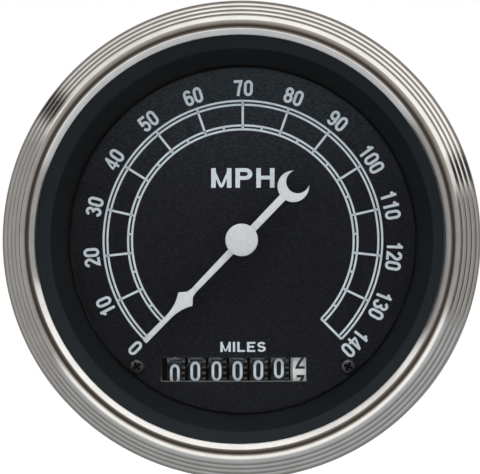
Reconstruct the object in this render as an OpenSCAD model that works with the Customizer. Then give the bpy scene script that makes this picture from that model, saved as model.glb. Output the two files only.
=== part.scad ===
// Dashboard speedometer with an air-core pointer movement and a drum odometer, in millimetres.
// The modules draw in the dial's own axes: x to the right, y up the dial and z towards the
// reader, with z = 0 on the plane where the bezel meets the panel. upright() then turns the
// gauge so that the dial faces -Y and +Z is up.

/* [Bezel and glass] */
// Outer diameter of the bezel
bezel_d = 94.2; // [93.6:0.1:95]
// Height of the bezel's crest above the panel
bezel_h = 7; // [6.8:0.1:7.6]
// Diameter of the opening inside the bezel's lip
lip_d = 80.3; // [79.8:0.1:81]
// Number of reeds turned outside the crest
reeds = 4; // [2:1:6]
// Diameter of the glass
glass_d = 85.2; // [84.6:0.1:85.2]
// Thickness of the glass
glass_t = 2; // [1.6:0.1:2.2]

/* [Case] */
// Outer diameter of the case
case_d = 84.6; // [84.2:0.1:84.8]
// Depth of the case behind the panel
case_depth = 45; // [45:0.5:47]
// Thickness of the case's steel
case_wall = 0.8; // [0.6:0.1:0.9]

/* [Dial and pointer] */
// Depth of the dial's face behind the panel plane
dial_depth = 4.8; // [4.7:0.1:4.8]
// Diameter of the dial that shows inside the trim ring
dial_open_d = 68.2; // [68.2:0.1:69]
// Angle of the scale's zero, anticlockwise from 3 o'clock
scale_start = 225; // [220:1:230]
// Sweep of the scale, clockwise from zero to the highest speed
scale_sweep = 270; // [250:1:272]
// Highest speed on the scale, with a long tick at every ten
top_speed = 140; // [80:10:200]
// Radius of the scale's outer line
scale_r = 27.59; // [26:0.01:28.5]
// Distance between the scale's outer and inner lines
scale_h = 5.64; // [4:0.01:7]
// Reach of the pointer from its axis
pointer_reach = 27.8; // [26:0.1:29]
// Thickness of the pointer
pointer_t = 0.8; // [0.5:0.1:1]

/* [Odometer] */
// Radius of the number drums
drum_r = 8.25; // [8.1:0.05:8.3]
// Spacing of the drums along their axle
drum_pitch = 4.115; // [4.1:0.005:4.12]
// Width of a mile drum's rim
drum_w = 2.4; // [2.3:0.05:2.4]
// Width of the tenths drum's rim
tenths_w = 2.8; // [2.6:0.1:2.8]

/* [Fixings] */
// Travel of the clamp bracket along its studs
clamp_travel = 8.5; // [6:0.5:8.5]
// Travel of the calibration button
button_travel = 0.6; // [0.3:0.1:0.6]
// Distance between the two mounting studs
stud_spacing = 52; // [50:1:54]

/* [Hidden] */
$fn = 64;

// Radial clearance of a shaft that turns in its bore
run_gap = 0.04;
// Clearance of a part in a hole that it only passes through
hole_gap = 0.1;
// Clearance where a thread holds, and where a part is pressed in
grip_gap = 0.02;
// Depth to which two shapes of one piece run into each other
weld = 0.2;

// Colours of the finishes
chrome = [0.86, 0.84, 0.81];
black_paint = [0.09, 0.1, 0.1];
dial_black = [0.13, 0.14, 0.15];
rubber_black = [0.07, 0.07, 0.07];
zinc_plate = [0.72, 0.72, 0.68];
brass = [0.82, 0.66, 0.3];
copper = [0.72, 0.4, 0.22];
board_green = [0.1, 0.36, 0.2];
white_plastic = [0.86, 0.88, 0.87];
black_plastic = [0.12, 0.12, 0.13];
needle_white = [0.84, 0.84, 0.86];
magnet_grey = [0.3, 0.3, 0.32];
clear_glass = [0.8, 0.88, 0.9, 0.35];

// Mouth of the gauge, from the panel forwards: rolled lip, case flange, trim ring, gasket, glass
bezel_r = bezel_d / 2;
lip_r = lip_d / 2;
rear_lip_t = 0.8;
seat_in_r = case_d / 2 + 0.3;
seat_out_r = bezel_r - 0.4;
flange_r = bezel_r - 1;
flange_front = rear_lip_t + case_wall;
ring_front = flange_front + 0.5;
glass_front = 4.8;
glass_rear = glass_front - glass_t;
gasket_r = 43.4;
crest = [41.8, bezel_h];
crest_in_r = 2.7;
crest_out_r = 2.2;
lip_round = 0.4;
lip_tilt = 38;
crest_tilt = 14;
flank_tilt = 39;
shoulder = [43.27, bezel_h - 0.66];
rim = [bezel_r - 0.15, 1.7];
reed_bulge = 0.1;

// Case, and the levels of what stands in it
case_r = case_d / 2;
case_in_r = case_r - case_wall;
case_rear = -case_depth;
case_floor = case_rear + case_wall;
dial_front = -dial_depth;
dial_rear = dial_front - 0.8;
dial_r = 40.5;
plate_t = 1.2;
plate_front = -28;
plate_rear = plate_front - plate_t;
plate_r = 38.5;
board_front = -36;
board_rear = board_front - 1.6;
board_r = 37.5;

// Screws: the dial's and the pillars' are small, the stand-offs' and the case's are larger
small_screw_r = 1;
screw_r = 1.2;
dial_screw_at = [20.9, -24.95];
upper_pillar_at = [14, 33];
pillars_at = [for (side = [-1, 1], at = [dial_screw_at, upper_pillar_at]) [side * at[0], at[1]]];
pillar_r = 2.2;
standoffs_at = [[0, 31], [27, -16], [-27, -16]];
screw_bite = 3;

// Lamps, and the hole that each bulb shines through
lamp_at = [21.5, 21.5];
socket_r = 6.4;
bulb_r = 4.2;
bulb_hole_r = 5.2;
socket_front = -38.5;
bulb_shoulder = -27;

// Calibration button behind the board
button_at = [0, 14];
button_r = 1.75;
button_collar_r = 2.2;
button_collar_t = 1;
button_rear = case_rear - 2.2;
chamber_rear = -40.4;
chamber_front = chamber_rear + button_collar_t + button_travel + 2 * hole_gap;
housing_rear = -41.2;

// Terminals: four studs through a moulded block
terminals_at = [0, -21];
terminal_step = [12, 10];
terminal_places = [
    for (i = [-1, 1], j = [-1, 1]) terminals_at + [i * terminal_step[0], j * terminal_step[1]] / 2
];
terminal_r = 2;
terminal_root_r = 1.5;
terminal_tip_r = 0.8;
terminal_end = -58;
block_rear = case_rear - 2;
block_front = -42.6;
terminal_nut_h = 1.6;

// Dial: the scale's lines and ticks stand proud by the thickness of the ink
ink = 0.05;
line_w = 0.38;
double_line = 0.77;
tick_w = 0.42;
window_size = [28.8, 4.84];
window_at = [-1.77, -25.48];
spindle_hole_r = 1.4;

// Pointer, as distances along it from its axis and half-widths there
pointer_rest = scale_start + 1.2;
pointer_travel = scale_sweep + 2;
spindle_r = 0.5;
spindle_foot = -23.8;
pointer_rear = -2.9;
pointer_front = pointer_rear + pointer_t;
stem_w = 0.7;
waist = [13.9, 0.55];
barb = [16.15, 1.9];
neck = [21.1, 0.5];
tip_w = 0.43;
tail_w = 0.74;
crescent_at = -14.65;
crescent_r = 3.1;
jaw_at = -15.94;
jaw_r = 2.32;
cap_r = 3.2;

// Pointer movement, inside its steel can
can_r = 13;
can_in_r = 12.2;
can_front = -11;
can_floor = plate_front + 0.8;
cover_front = -10.4;
cover_rear = -12.2;
former_r = 9;
former_front_z = -15.5;
former_split = -20;
former_rear_z = -24.5;
cavity_r = 7.5;
cavity_front = -17.4;
cavity_rear = -22.6;
magnet_r = 7;
magnet_front = -18;
magnet_rear = -22;
boss_at = 6.2;
boss_r = 1.4;
can_screws_at = [[boss_at, boss_at], [-boss_at, -boss_at]];
can_screw_r = 0.8;
pin_bosses_at = [[boss_at, -boss_at], [-boss_at, boss_at]];
pin_r = 0.3;
pin_step = 1.4;
pin_end = -38.4;
coil_w = 3;
coil_offset = 3;
inner_coil_t = 1;
outer_coil_t = 1.1;
bush_r = 1.6;

// Stop that the spindle's finger meets at each end of the pointer's travel
stop_in_r = 2.6;
stop_out_r = 4.4;
stop_front = -8.9;
stop_middle = pointer_rest - pointer_travel / 2 - 180;
stop_half = (360 - pointer_travel) / 2 - 12;
finger_rear = -9.7;
finger_w = 1;

// Odometer: centres of its axles as [y, z], and the places of its parts along x
drum_axle_at = [-25.47, -14.65];
drum_axle_r = 0.8;
small_axle_r = 0.6;
mile_drums = 6;
first_drum_x = -13.47;
tenths_x = first_drum_x + mile_drums * drum_pitch;
left_plate_x = -16.55;
right_plate_x = 14.6;
side_plate_t = 1;
foot_screws_at = [[-19.3, -17], [18.3, -18.5]];
hub_r = 1.5;
hub_left = 1.95;
end_gap = 0.1;
web_t = 0.6;
rim_t = 0.7;
collar_in_r = 5.7;
collar_r = 6.5;
ring_t = 0.6;
carry_t = 0.55;
transfer_w = 1.25;
transfer_x = 1.32;
spacer_r = 1.2;
spacer_gap = 0.05;
drive_x = 12.95;
drive_t = 0.65;
wheel_x = 13.7;
wheel_t = 0.75;

// Gears: module and teeth of each pair, and the play cut from each tooth's thickness
ring_module = 0.35;
ring_teeth = 40;
transfer_teeth = 16;
transfer_angle = 240;
drive_module = 0.4;
drive_teeth = 30;
drive_pinion_teeth = 12;
idler_angle = -30.5;
motor_angle = -20;
tooth_play = 0.07;
ring_centres = ring_module * (ring_teeth + transfer_teeth) / 2;
drive_centres = drive_module * (drive_teeth + drive_pinion_teeth) / 2;
transfer_at = drum_axle_at + ring_centres * [cos(transfer_angle), sin(transfer_angle)];
idler_at = drum_axle_at + drive_centres * [cos(idler_angle), sin(idler_angle)];
motor_at = idler_at + drive_centres * [cos(motor_angle), sin(motor_angle)];

// Odometer motor, behind the right side plate
motor_front = right_plate_x + side_plate_t;
motor_r = 5;
motor_length = 8.4;
motor_screws_at = [
    for (side = [-1, 1]) motor_at + side * 4 * [-sin(motor_angle), cos(motor_angle)]
];
motor_screw_r = 0.5;
plug_size = [6.3, 3];
plug_at = [motor_front + motor_length / 2, motor_at[0]];
plug_rear = -27.6;
plug_pins_at = [for (k = [-1.5:1.5]) plug_at + [k * 1.5, 0]];

// Clamp bracket, its studs and nuts
stud_r = 2.4;
stud_end = -68;
stud_nut_h = 2.6;
clamp_t = 1.5;
clamp_w = 16;
clamp_out_x = 45;
clamp_bend_r = 3;
clamp_feet = -1 - clamp_travel;
clamp_rear = case_rear - stud_nut_h - 0.9 - clamp_travel - clamp_t;
washer_t = 1;
knurl_h = 7;
knurl_r = 4.8;
knurl_depth = 0.3;
knurls = 30;

// Points from a to b, without b, on a curve that stands out to the left by bulge at its middle
function bulged(a, b, bulge, steps) =
    let (side = [a[1] - b[1], b[0] - a[0]] / norm(b - a))
    [for (i = [0:steps - 1]) a + (b - a) * i / steps + side * bulge * sin(180 * i / steps)];

// Points of an arc about a centre, from angle a to angle b
function arc(centre, r, a, b, steps) =
    [for (i = [0:steps]) let (t = a + (b - a) * i / steps) centre + r * [cos(t), sin(t)]];

// Angle between the start of an involute on its base circle and its point at radius r
function involute_turn(base_r, r) =
    let (t = acos(min(1, base_r / r)))
    tan(t) * 180 / PI - t;

// Outline of a spur gear with a tooth centred on the x axis, its flanks drawn through the
// involute at the root, at the pitch circle and at the tip
function gear_outline(teeth, mod, pressure = 20) =
    let (
        pitch_r = teeth * mod / 2,
        base_r = pitch_r * cos(pressure),
        half = 90 / teeth - tooth_play / pitch_r * 90 / PI + involute_turn(base_r, pitch_r),
        radii = [pitch_r - 1.25 * mod, pitch_r, pitch_r + 0.9 * mod],
        turns = [for (r = radii) half - involute_turn(base_r, r)]
    )
    [
        for (k = [0:teeth - 1], p = [[0, -1], [1, -1], [2, -1], [2, 1], [1, 1], [0, 1]])
            let (t = 360 * k / teeth + p[1] * turns[p[0]])
            radii[p[0]] * [cos(t), sin(t)]
    ];

// Place of mile drum number k along x, counted from the left
function drum_x(k) = first_drum_x + k * drum_pitch;

// Turns the dial's axes into the gauge's own, with the dial facing -Y
module upright() {
    rotate([90, 0, 0]) children();
}

// Solid of revolution about the dial's axis from a profile of [radius, z] points
module turned(profile) {
    rotate_extrude() polygon(profile);
}

// Round bar between two levels
module bar(r, low, high) {
    translate([0, 0, low]) cylinder(r = r, h = high - low);
}

// Hexagonal bar between two levels, measured across its corners
module hex_bar(r, low, high) {
    translate([0, 0, low]) cylinder(r = r, h = high - low, $fn = 6);
}

// Block centred on the axis between two levels
module block(size, low, high) {
    translate([-size[0] / 2, -size[1] / 2, low]) cube([size[0], size[1], high - low]);
}

// Copies its children to each of a list of places
module at_each(places) {
    for (at = places) {
        translate([at[0], at[1], 0]) children();
    }
}

// Copies its children to a place and to its mirror image across the dial
module both_sides(at) {
    at_each([[-at[0], at[1]], at]) children();
}

// Lays its children on an axle along x, centred at [y, z], running right from x
module on_axle(at, x = 0) {
    translate([x, at[0], at[1]]) rotate([90, 0, 90]) children();
}

// Gear about its own axis, turned so that one tooth points at an angle
module gear(teeth, mod, width, angle) {
    rotate([0, 0, angle]) linear_extrude(width) polygon(gear_outline(teeth, mod));
}

// Pan head screw with a cross recess, the head's underside at z = 0 and the shank below it
module pan_screw(head_r, head_h, shank_r, length) {
    recess = [head_r * 1.25, head_r * 0.28];
    difference() {
        turned([
            [0, -length], [shank_r, -length], [shank_r, 0], [head_r, 0], [head_r, head_h * 0.45],
            [head_r * 0.86, head_h * 0.8], [head_r * 0.55, head_h], [0, head_h]
        ]);
        block(recess, head_h * 0.4, head_h + 1);
        rotate([0, 0, 90]) block(recess, head_h * 0.4, head_h + 1);
    }
}

// The same screw driven in from behind
module rear_screw(head_r, head_h, shank_r, length) {
    mirror([0, 0, 1]) pan_screw(head_r, head_h, shank_r, length);
}

// Spun ring with a rounded crest and reeds outside it, rolled behind the case's flange
module bezel() {
    step = (rim - shoulder) / reeds;
    crest_side = [-sin(crest_tilt), cos(crest_tilt)];
    crest_start = crest - [0, crest_in_r] + crest_in_r * crest_side;
    lip_end = crest_start - lip_round * (crest_side - [-sin(lip_tilt), cos(lip_tilt)]);
    profile = concat(
        [[lip_r, glass_front], [lip_r, lip_end[1] - (lip_end[0] - lip_r) * tan(lip_tilt)], lip_end],
        arc(crest - [0, crest_in_r], crest_in_r, 90 + crest_tilt, 90, 3),
        arc(crest - [0, crest_out_r], crest_out_r, 90 - flank_tilt / 6, 90 - flank_tilt, 5),
        [
            for (i = [0:reeds - 1])
                each bulged(shoulder + i * step, shoulder + (i + 1) * step, reed_bulge, 5)
        ],
        [
            rim, [bezel_r, rim[1] - 0.4], [bezel_r, 0.4], [seat_out_r, 0], [seat_in_r, 0],
            [seat_in_r, rear_lip_t], [flange_r + hole_gap, rear_lip_t],
            [flange_r + hole_gap, ring_front - 0.2], [gasket_r + hole_gap, glass_front]
        ]
    );
    color(chrome) upright() turned(profile);
}

module glass_lens() {
    edge = 0.2;
    r = glass_d / 2;
    color(clear_glass) upright() turned([
        [0, glass_rear], [r - edge, glass_rear], [r, glass_rear + edge],
        [r, glass_front - edge], [r - edge, glass_front], [0, glass_front]
    ]);
}

// Rubber ring of angle section that centres the glass
module lens_gasket() {
    inner_r = 40.9;
    seat_r = glass_d / 2 + 0.05;
    color(rubber_black) upright() turned([
        [inner_r, ring_front], [gasket_r, ring_front], [gasket_r, glass_front],
        [seat_r, glass_front], [seat_r, glass_rear], [inner_r, glass_rear]
    ]);
}

// Black funnel from the glass down to the dial, bent once on its way to an upright foot
module trim_ring() {
    knee = [37.8, -1];
    foot_r = dial_open_d / 2;
    foot_h = 1.2;
    color(black_paint) upright() turned([
        [gasket_r, ring_front], [lip_r + 0.05, ring_front], knee, [foot_r, dial_front + foot_h],
        [foot_r, dial_front], [foot_r + 0.75, dial_front], knee + [0.55, -0.25],
        [lip_r + 0.5, flange_front], [gasket_r, flange_front]
    ]);
}

// Steel cup with a turned-out flange at its mouth
module case_cup() {
    corner = 2.5;
    inner_corner = corner - case_wall;
    low = case_rear - 1;
    high = case_floor + 1;
    color(zinc_plate) upright() difference() {
        turned(concat(
            [[case_in_r, flange_front], [flange_r, flange_front], [flange_r, rear_lip_t]],
            [[case_r, rear_lip_t]],
            arc([case_r - corner, case_rear + corner], corner, 0, -90, 6),
            [[0, case_rear], [0, case_floor]],
            arc([case_in_r - inner_corner, case_floor + inner_corner], inner_corner, -90, 0, 6)
        ));
        both_sides([stud_spacing / 2, 0]) bar(stud_r + hole_gap, low, high);
        both_sides(lamp_at) bar(socket_r + hole_gap, low, high);
        at_each(standoffs_at) bar(screw_r + hole_gap, low, high);
        at_each([button_at]) bar(button_r + hole_gap, low, high);
        at_each([terminals_at]) block([18.5, 17.5], low, high);
    }
}

// One printed line of the scale, sunk into the dial by the depth of the weld
module scale_line(r) {
    rotate([0, 0, scale_start - scale_sweep])
        rotate_extrude(angle = scale_sweep)
            translate([r - line_w / 2, dial_front - weld]) square([line_w, weld + ink]);
}

// One printed tick between two radii
module scale_tick(angle, low, high) {
    rotate([0, 0, angle])
        translate([low, -tick_w / 2, dial_front - weld]) cube([high - low, tick_w, weld + ink]);
}

// Dial with its window, its holes and its printed scale
module dial_plate() {
    inner_r = scale_r - scale_h;
    tens = top_speed / 10;
    step = scale_sweep / tens;
    low = dial_rear - 1;
    high = dial_front + 1;
    color(dial_black) upright() {
        difference() {
            bar(dial_r, dial_rear, dial_front);
            bar(spindle_hole_r, low, high);
            both_sides(dial_screw_at) bar(small_screw_r + hole_gap, low, high);
            at_each([window_at]) block(window_size, low, high);
        }
        for (r = [scale_r, scale_r - double_line, inner_r + double_line, inner_r]) {
            scale_line(r);
        }
        for (k = [0:tens]) {
            scale_tick(scale_start - k * step, inner_r, scale_r);
        }
        for (k = [0.5:tens - 0.5]) {
            scale_tick(scale_start - k * step, inner_r, inner_r + double_line);
        }
    }
}

// The dial's two screws, each with its side and the angle at which its recess came to rest
module dial_screws() {
    color(black_paint) upright()
        for (screw = [[-1, 36], [1, 68]]) {
            translate([screw[0] * dial_screw_at[0], dial_screw_at[1], dial_front])
                rotate([0, 0, screw[1]]) pan_screw(1.5, 0.95, small_screw_r, 5.2);
        }
}

// Posts between the movement plate and the dial, the lower two tapped for the dial's screws
module dial_pillars() {
    hole_r = small_screw_r + grip_gap;
    color(zinc_plate) upright() difference() {
        at_each(pillars_at) bar(pillar_r, plate_front, dial_rear);
        at_each(pillars_at) bar(hole_r, plate_front - 1, plate_front + screw_bite + 0.4);
        both_sides(dial_screw_at) bar(hole_r, dial_rear - 5, dial_rear + 1);
    }
}

// Plate that carries the pointer movement and the odometer
module movement_plate() {
    low = plate_rear - 1;
    high = plate_front + 1;
    color(zinc_plate) upright() difference() {
        bar(plate_r, plate_rear, plate_front);
        at_each(concat(pillars_at, foot_screws_at)) bar(small_screw_r + hole_gap, low, high);
        at_each(can_screws_at) bar(can_screw_r + hole_gap, low, high);
        at_each(pin_bosses_at) bar(boss_r, low, high);
        at_each(standoffs_at) bar(screw_r + hole_gap, low, high);
        both_sides(lamp_at) bar(bulb_hole_r, low, high);
        both_sides([31, 2]) bar(4.5, low, high);
        at_each([plug_at]) block(plug_size + [1, 1], low, high);
    }
}

// Screws that hold the pillars, the stand-offs, the side plates, the can and the motor
module frame_screws() {
    color(zinc_plate) upright() {
        at_each(pillars_at)
            translate([0, 0, plate_rear]) rear_screw(1.9, 1.2, small_screw_r, plate_t + screw_bite);
        at_each(standoffs_at)
            translate([0, 0, plate_front]) pan_screw(1.9, 1.2, screw_r, plate_t + screw_bite);
        at_each(foot_screws_at)
            translate([0, 0, plate_front + side_plate_t])
                pan_screw(1.75, 1, small_screw_r, side_plate_t + plate_t);
        at_each(can_screws_at)
            translate([0, 0, plate_rear]) rear_screw(1.5, 0.9, can_screw_r, plate_t + screw_bite + 0.2);
        for (at = motor_screws_at) {
            on_axle(at, right_plate_x) rear_screw(0.85, 0.5, motor_screw_r, side_plate_t + 2);
        }
    }
}

// Hexagonal posts in front of the circuit board and round spacers behind it
module board_standoffs() {
    color(brass) upright() at_each(standoffs_at) {
        difference() {
            hex_bar(2.9, board_front, plate_rear);
            bar(screw_r + grip_gap, board_front - 1, plate_rear + 1);
        }
        difference() {
            bar(2.5, case_floor, board_rear);
            bar(screw_r + hole_gap, case_floor - 1, board_rear + 1);
        }
    }
}

module case_screws() {
    length = board_front + screw_bite - case_rear;
    color(zinc_plate) upright()
        at_each(standoffs_at) translate([0, 0, case_rear]) rear_screw(2.3, 1.4, screw_r, length);
}

module circuit_board() {
    low = board_rear - 1;
    high = board_front + 1;
    color(board_green) upright() difference() {
        bar(board_r, board_rear, board_front);
        at_each(standoffs_at) bar(screw_r + hole_gap, low, high);
        both_sides(lamp_at) bar(bulb_hole_r, low, high);
        at_each(terminal_places) bar(terminal_tip_r + grip_gap, low, high);
        pin_places() bar(pin_r + grip_gap, low, high);
    }
}

// Controller, regulator, crystal and capacitors on the board's front
module board_components() {
    top = 0.8;
    color(black_plastic) upright() {
        block([10, 7], board_front, board_front + 2.2);
        at_each([[-21, 4]]) block([10, 9], board_front, board_front + 4.5);
        at_each([[-13, -9]]) block([8, 3.5], board_front, board_front + 3.2);
        at_each([[15, 4], [22.5, 4]]) turned([
            [0, board_front], [3.2, board_front], [3.2, board_front + 6 - top / 2],
            [3.2 - top / 2, board_front + 6], [0, board_front + 6]
        ]);
    }
}

// Steel can round the pointer movement
module movement_can() {
    low = plate_front - 1;
    high = can_floor + 1;
    color(zinc_plate) upright() difference() {
        turned([
            [0, plate_front], [can_r, plate_front], [can_r, can_front], [can_in_r, can_front],
            [can_in_r, can_floor], [0, can_floor]
        ]);
        at_each(can_screws_at) bar(can_screw_r + hole_gap, low, high);
        at_each(pin_bosses_at) bar(boss_r, low, high);
    }
}

// Lid of the can, which holds the front bush and stops the spindle's finger
module movement_cover() {
    color(black_plastic) upright() {
        turned([
            [bush_r + grip_gap, cover_rear], [can_in_r - hole_gap, cover_rear],
            [can_in_r - hole_gap, can_front], [can_r, can_front], [can_r, cover_front],
            [bush_r + grip_gap, cover_front]
        ]);
        rotate([0, 0, stop_middle - stop_half])
            rotate_extrude(angle = 2 * stop_half)
                translate([stop_in_r, cover_front - weld])
                    square([stop_out_r - stop_in_r, stop_front - cover_front + weld]);
    }
}

// Front half of the coils' former, open behind for the magnet
module former_front() {
    eye_r = spindle_r + 0.3;
    color(white_plastic) upright() turned([
        [eye_r, former_front_z], [former_r, former_front_z], [former_r, former_split],
        [cavity_r, former_split], [cavity_r, cavity_front], [eye_r, cavity_front]
    ]);
}

// Rear half of the former, standing on four bosses clear of the coils
module former_rear() {
    color(white_plastic) upright() difference() {
        union() {
            turned([
                [0, former_rear_z], [former_r, former_rear_z], [former_r, former_split],
                [cavity_r, former_split], [cavity_r, cavity_rear], [0, cavity_rear]
            ]);
            at_each(concat(can_screws_at, pin_bosses_at)) bar(boss_r, can_floor, former_rear_z + weld);
        }
        at_each(can_screws_at) bar(can_screw_r + grip_gap, can_floor - 1, former_rear_z - 0.2);
        bar(bush_r + grip_gap, former_rear_z + 0.3, cavity_rear + 1);
        coil_pin_places() bar(pin_r + grip_gap, can_floor - 1, can_floor + 1.5);
    }
}

// Pair of rectangular windings about the former, laid across it along y
module winding(inner, outer, low, high, thickness) {
    for (side = [-1, 1]) {
        translate([side * coil_offset, 0, 0]) difference() {
            block([coil_w, outer], low, high);
            block([coil_w + 1, inner], low + thickness, high - thickness);
        }
    }
}

module inner_coil() {
    opening = 2 * former_r + 0.1;
    color(copper) upright() winding(
        opening, opening + 2 * inner_coil_t,
        former_rear_z - inner_coil_t, former_front_z + inner_coil_t, inner_coil_t
    );
}

module outer_coil() {
    opening = 2 * former_r + 0.1;
    reach = inner_coil_t + outer_coil_t;
    color(copper) upright() rotate([0, 0, 90]) winding(
        opening, opening + 2 * outer_coil_t,
        former_rear_z - reach, former_front_z + reach, outer_coil_t
    );
}

// Bushes that the spindle turns in: one through the cover, one blind in the former
module spindle_bushes() {
    color(brass) upright() {
        difference() {
            bar(bush_r, cover_rear - 0.5, cover_front + 0.5);
            bar(spindle_r + run_gap, cover_rear - 1, cover_front + 1);
        }
        difference() {
            bar(bush_r, former_rear_z + 0.3, cavity_rear + 0.2);
            bar(spindle_r + run_gap, spindle_foot - 0.1, cavity_rear + 1);
        }
    }
}

// Copies its children to the four pins of the coils
module coil_pin_places() {
    at_each([for (at = pin_bosses_at, side = [-1, 1]) at + [side * pin_step / 2, 0]]) children();
}

// Copies its children to every pin that reaches the circuit board
module pin_places() {
    coil_pin_places() children();
    at_each(plug_pins_at) children();
}

module connection_pins() {
    color(brass) upright() {
        coil_pin_places() bar(pin_r, pin_end, can_floor + 1.4);
        at_each(plug_pins_at) bar(pin_r, pin_end, plug_rear);
    }
}

// Pointer with a spearhead and an open crescent at its tail, on a boss below
module pointer() {
    hollow = [
        for (k = [0:0.125:1])
            [barb[0] + k * (neck[0] - barb[0]), neck[1] + (barb[1] - neck[1]) * pow(1 - k, 2.2)]
    ];
    half = concat(
        [[crescent_at + crescent_r - 0.8, tail_w], [0, stem_w], waist, waist + [1, 0.25]],
        hollow, [[pointer_reach, tip_w]]
    );
    other_half = [for (k = [len(half) - 1:-1:0]) [half[k][0], -half[k][1]]];
    color(needle_white) upright() rotate([0, 0, pointer_rest]) difference() {
        union() {
            translate([0, 0, pointer_rear]) linear_extrude(pointer_t) polygon(concat(half, other_half));
            bar(1.8, pointer_rear - 1.4, pointer_rear + weld);
            difference() {
                translate([crescent_at, 0, 0]) bar(crescent_r, pointer_rear, pointer_front);
                translate([jaw_at, 0, 0]) bar(jaw_r, pointer_rear - 1, pointer_front + 1);
            }
        }
        bar(spindle_r + grip_gap, pointer_rear - 2, pointer_front + 1);
    }
}

module pointer_cap() {
    color(needle_white) upright() turned([
        [0, pointer_front], [cap_r, pointer_front], [cap_r, pointer_front + 0.6],
        [cap_r - 0.3, pointer_front + 1], [cap_r - 0.8, pointer_front + 1.15], [0, pointer_front + 1.2]
    ]);
}

// Steel spindle with the finger that meets the stop
module pointer_spindle() {
    color(zinc_plate) upright() {
        bar(spindle_r, spindle_foot, pointer_front - 0.2);
        bar(1.3, finger_rear, finger_rear + 1.2);
        rotate([0, 0, pointer_rest])
            translate([0, -finger_w / 2, finger_rear])
                cube([stop_out_r - 0.2, finger_w, stop_front - finger_rear]);
    }
}

module rotor_magnet() {
    color(magnet_grey) upright() difference() {
        bar(magnet_r, magnet_rear, magnet_front);
        bar(spindle_r + grip_gap, magnet_rear - 1, magnet_front + 1);
    }
}

// Holes of the two axles that both side plates carry
module axle_holes(x) {
    on_axle(drum_axle_at, x - 1) bar(drum_axle_r + grip_gap, 0, side_plate_t + 2);
    on_axle(transfer_at, x - 1) bar(small_axle_r + grip_gap, 0, side_plate_t + 2);
}

// Side plate from its outline in [y, z], with a foot bent outwards on the movement plate
module side_plate(x, outline, foot_x, foot_y, screw_at) {
    difference() {
        union() {
            on_axle([0, 0], x) linear_extrude(side_plate_t) polygon(outline);
            translate([foot_x[0], foot_y[0], plate_front])
                cube([foot_x[1] - foot_x[0], foot_y[1] - foot_y[0], side_plate_t]);
        }
        axle_holes(x);
        at_each([screw_at]) bar(small_screw_r + hole_gap, plate_front - 1, plate_front + side_plate_t + 1);
    }
}

module left_side_plate() {
    outline = [
        [-33.5, plate_front], [-33.5, -18], [-28.5, -9.5], [-22.4, -9.5], [-14, -16], [-14, plate_front]
    ];
    color(black_plastic) upright()
        side_plate(left_plate_x, outline, [-22, left_plate_x + weld], [-20, -14], foot_screws_at[0]);
}

module right_side_plate() {
    outline = [
        [-33.5, plate_front], [-33.5, -18], [-28.5, -9.5], [-22.4, -9.5], [-14, -14.5],
        [-4.5, -15.5], [-4.5, plate_front]
    ];
    color(black_plastic) upright() difference() {
        side_plate(right_plate_x, outline, [motor_front - weld, 21], [-20.8, -16.2], foot_screws_at[1]);
        on_axle(idler_at, right_plate_x - 1) bar(small_axle_r + grip_gap, 0, side_plate_t + 2);
        on_axle(motor_at, right_plate_x - 1) bar(3.1, 0, side_plate_t + 2);
        for (at = motor_screws_at) {
            on_axle(at, right_plate_x - 1) bar(motor_screw_r + grip_gap, 0, side_plate_t + 2);
        }
    }
}

// Axle riveted outside both side plates
module riveted_axle(at, r, rivet_r) {
    rivet_t = 0.5;
    length = right_plate_x - left_plate_x + side_plate_t + 2 * rivet_t;
    on_axle(at, left_plate_x - rivet_t) {
        bar(r, 0, length);
        bar(rivet_r, 0, rivet_t);
        bar(rivet_r, length - rivet_t, length);
    }
}

// Drum axle, transfer axle, and the headed pin of the idler gear
module odometer_axles() {
    head_t = 0.18;
    head_x = drive_x - head_t - 0.07;
    color(zinc_plate) upright() {
        riveted_axle(drum_axle_at, drum_axle_r, 1.3);
        riveted_axle(transfer_at, small_axle_r, 1);
        on_axle(idler_at, head_x) {
            bar(small_axle_r, 0, motor_front - head_x + 0.4);
            bar(0.9, 0, head_t);
            bar(0.9, motor_front - head_x, motor_front - head_x + 0.4);
        }
    }
}

// Sleeves that keep the transfer pinions in line with their drums
module transfer_spacers() {
    color(brass) upright() for (k = [0:mile_drums]) {
        low = k == 0 ? left_plate_x + side_plate_t : drum_x(k - 1) + transfer_x + transfer_w;
        high = k == mile_drums ? right_plate_x : drum_x(k) + transfer_x;
        on_axle(transfer_at) difference() {
            bar(spacer_r, low + spacer_gap, high - spacer_gap);
            bar(small_axle_r + grip_gap, low, high);
        }
    }
}

// Round stepper motor with the plug of its four pins below it
module odometer_motor() {
    color(black_plastic) upright() difference() {
        union() {
            on_axle(motor_at, motor_front) bar(motor_r, 0, motor_length);
            at_each([plug_at]) block(plug_size, plug_rear, motor_at[1] - 3);
        }
        on_axle(motor_at, motor_front - 1) bar(small_axle_r + run_gap, 0, motor_length - 1);
        for (at = motor_screws_at) {
            on_axle(at, motor_front - 1) bar(motor_screw_r + grip_gap, 0, 3.2);
        }
    }
}

// Motor's shaft with its pinion
module motor_pinion() {
    color(brass) upright() on_axle(motor_at, wheel_x) {
        gear(drive_pinion_teeth, drive_module, wheel_t, motor_angle + 180 + 180 / drive_pinion_teeth);
        bar(small_axle_r, 0, motor_front + motor_length - 2.5 - wheel_x);
    }
}

// Wheel and pinion in one piece, between the motor and the tenths drum
module idler_gear() {
    color(white_plastic) upright() on_axle(idler_at, drive_x) difference() {
        union() {
            gear(
                drive_pinion_teeth, drive_module, wheel_x - drive_x + weld,
                idler_angle + 180 + 180 / drive_pinion_teeth
            );
            translate([0, 0, wheel_x - drive_x]) gear(drive_teeth, drive_module, wheel_t, motor_angle);
        }
        bar(small_axle_r + run_gap, -1, 3);
    }
}

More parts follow.
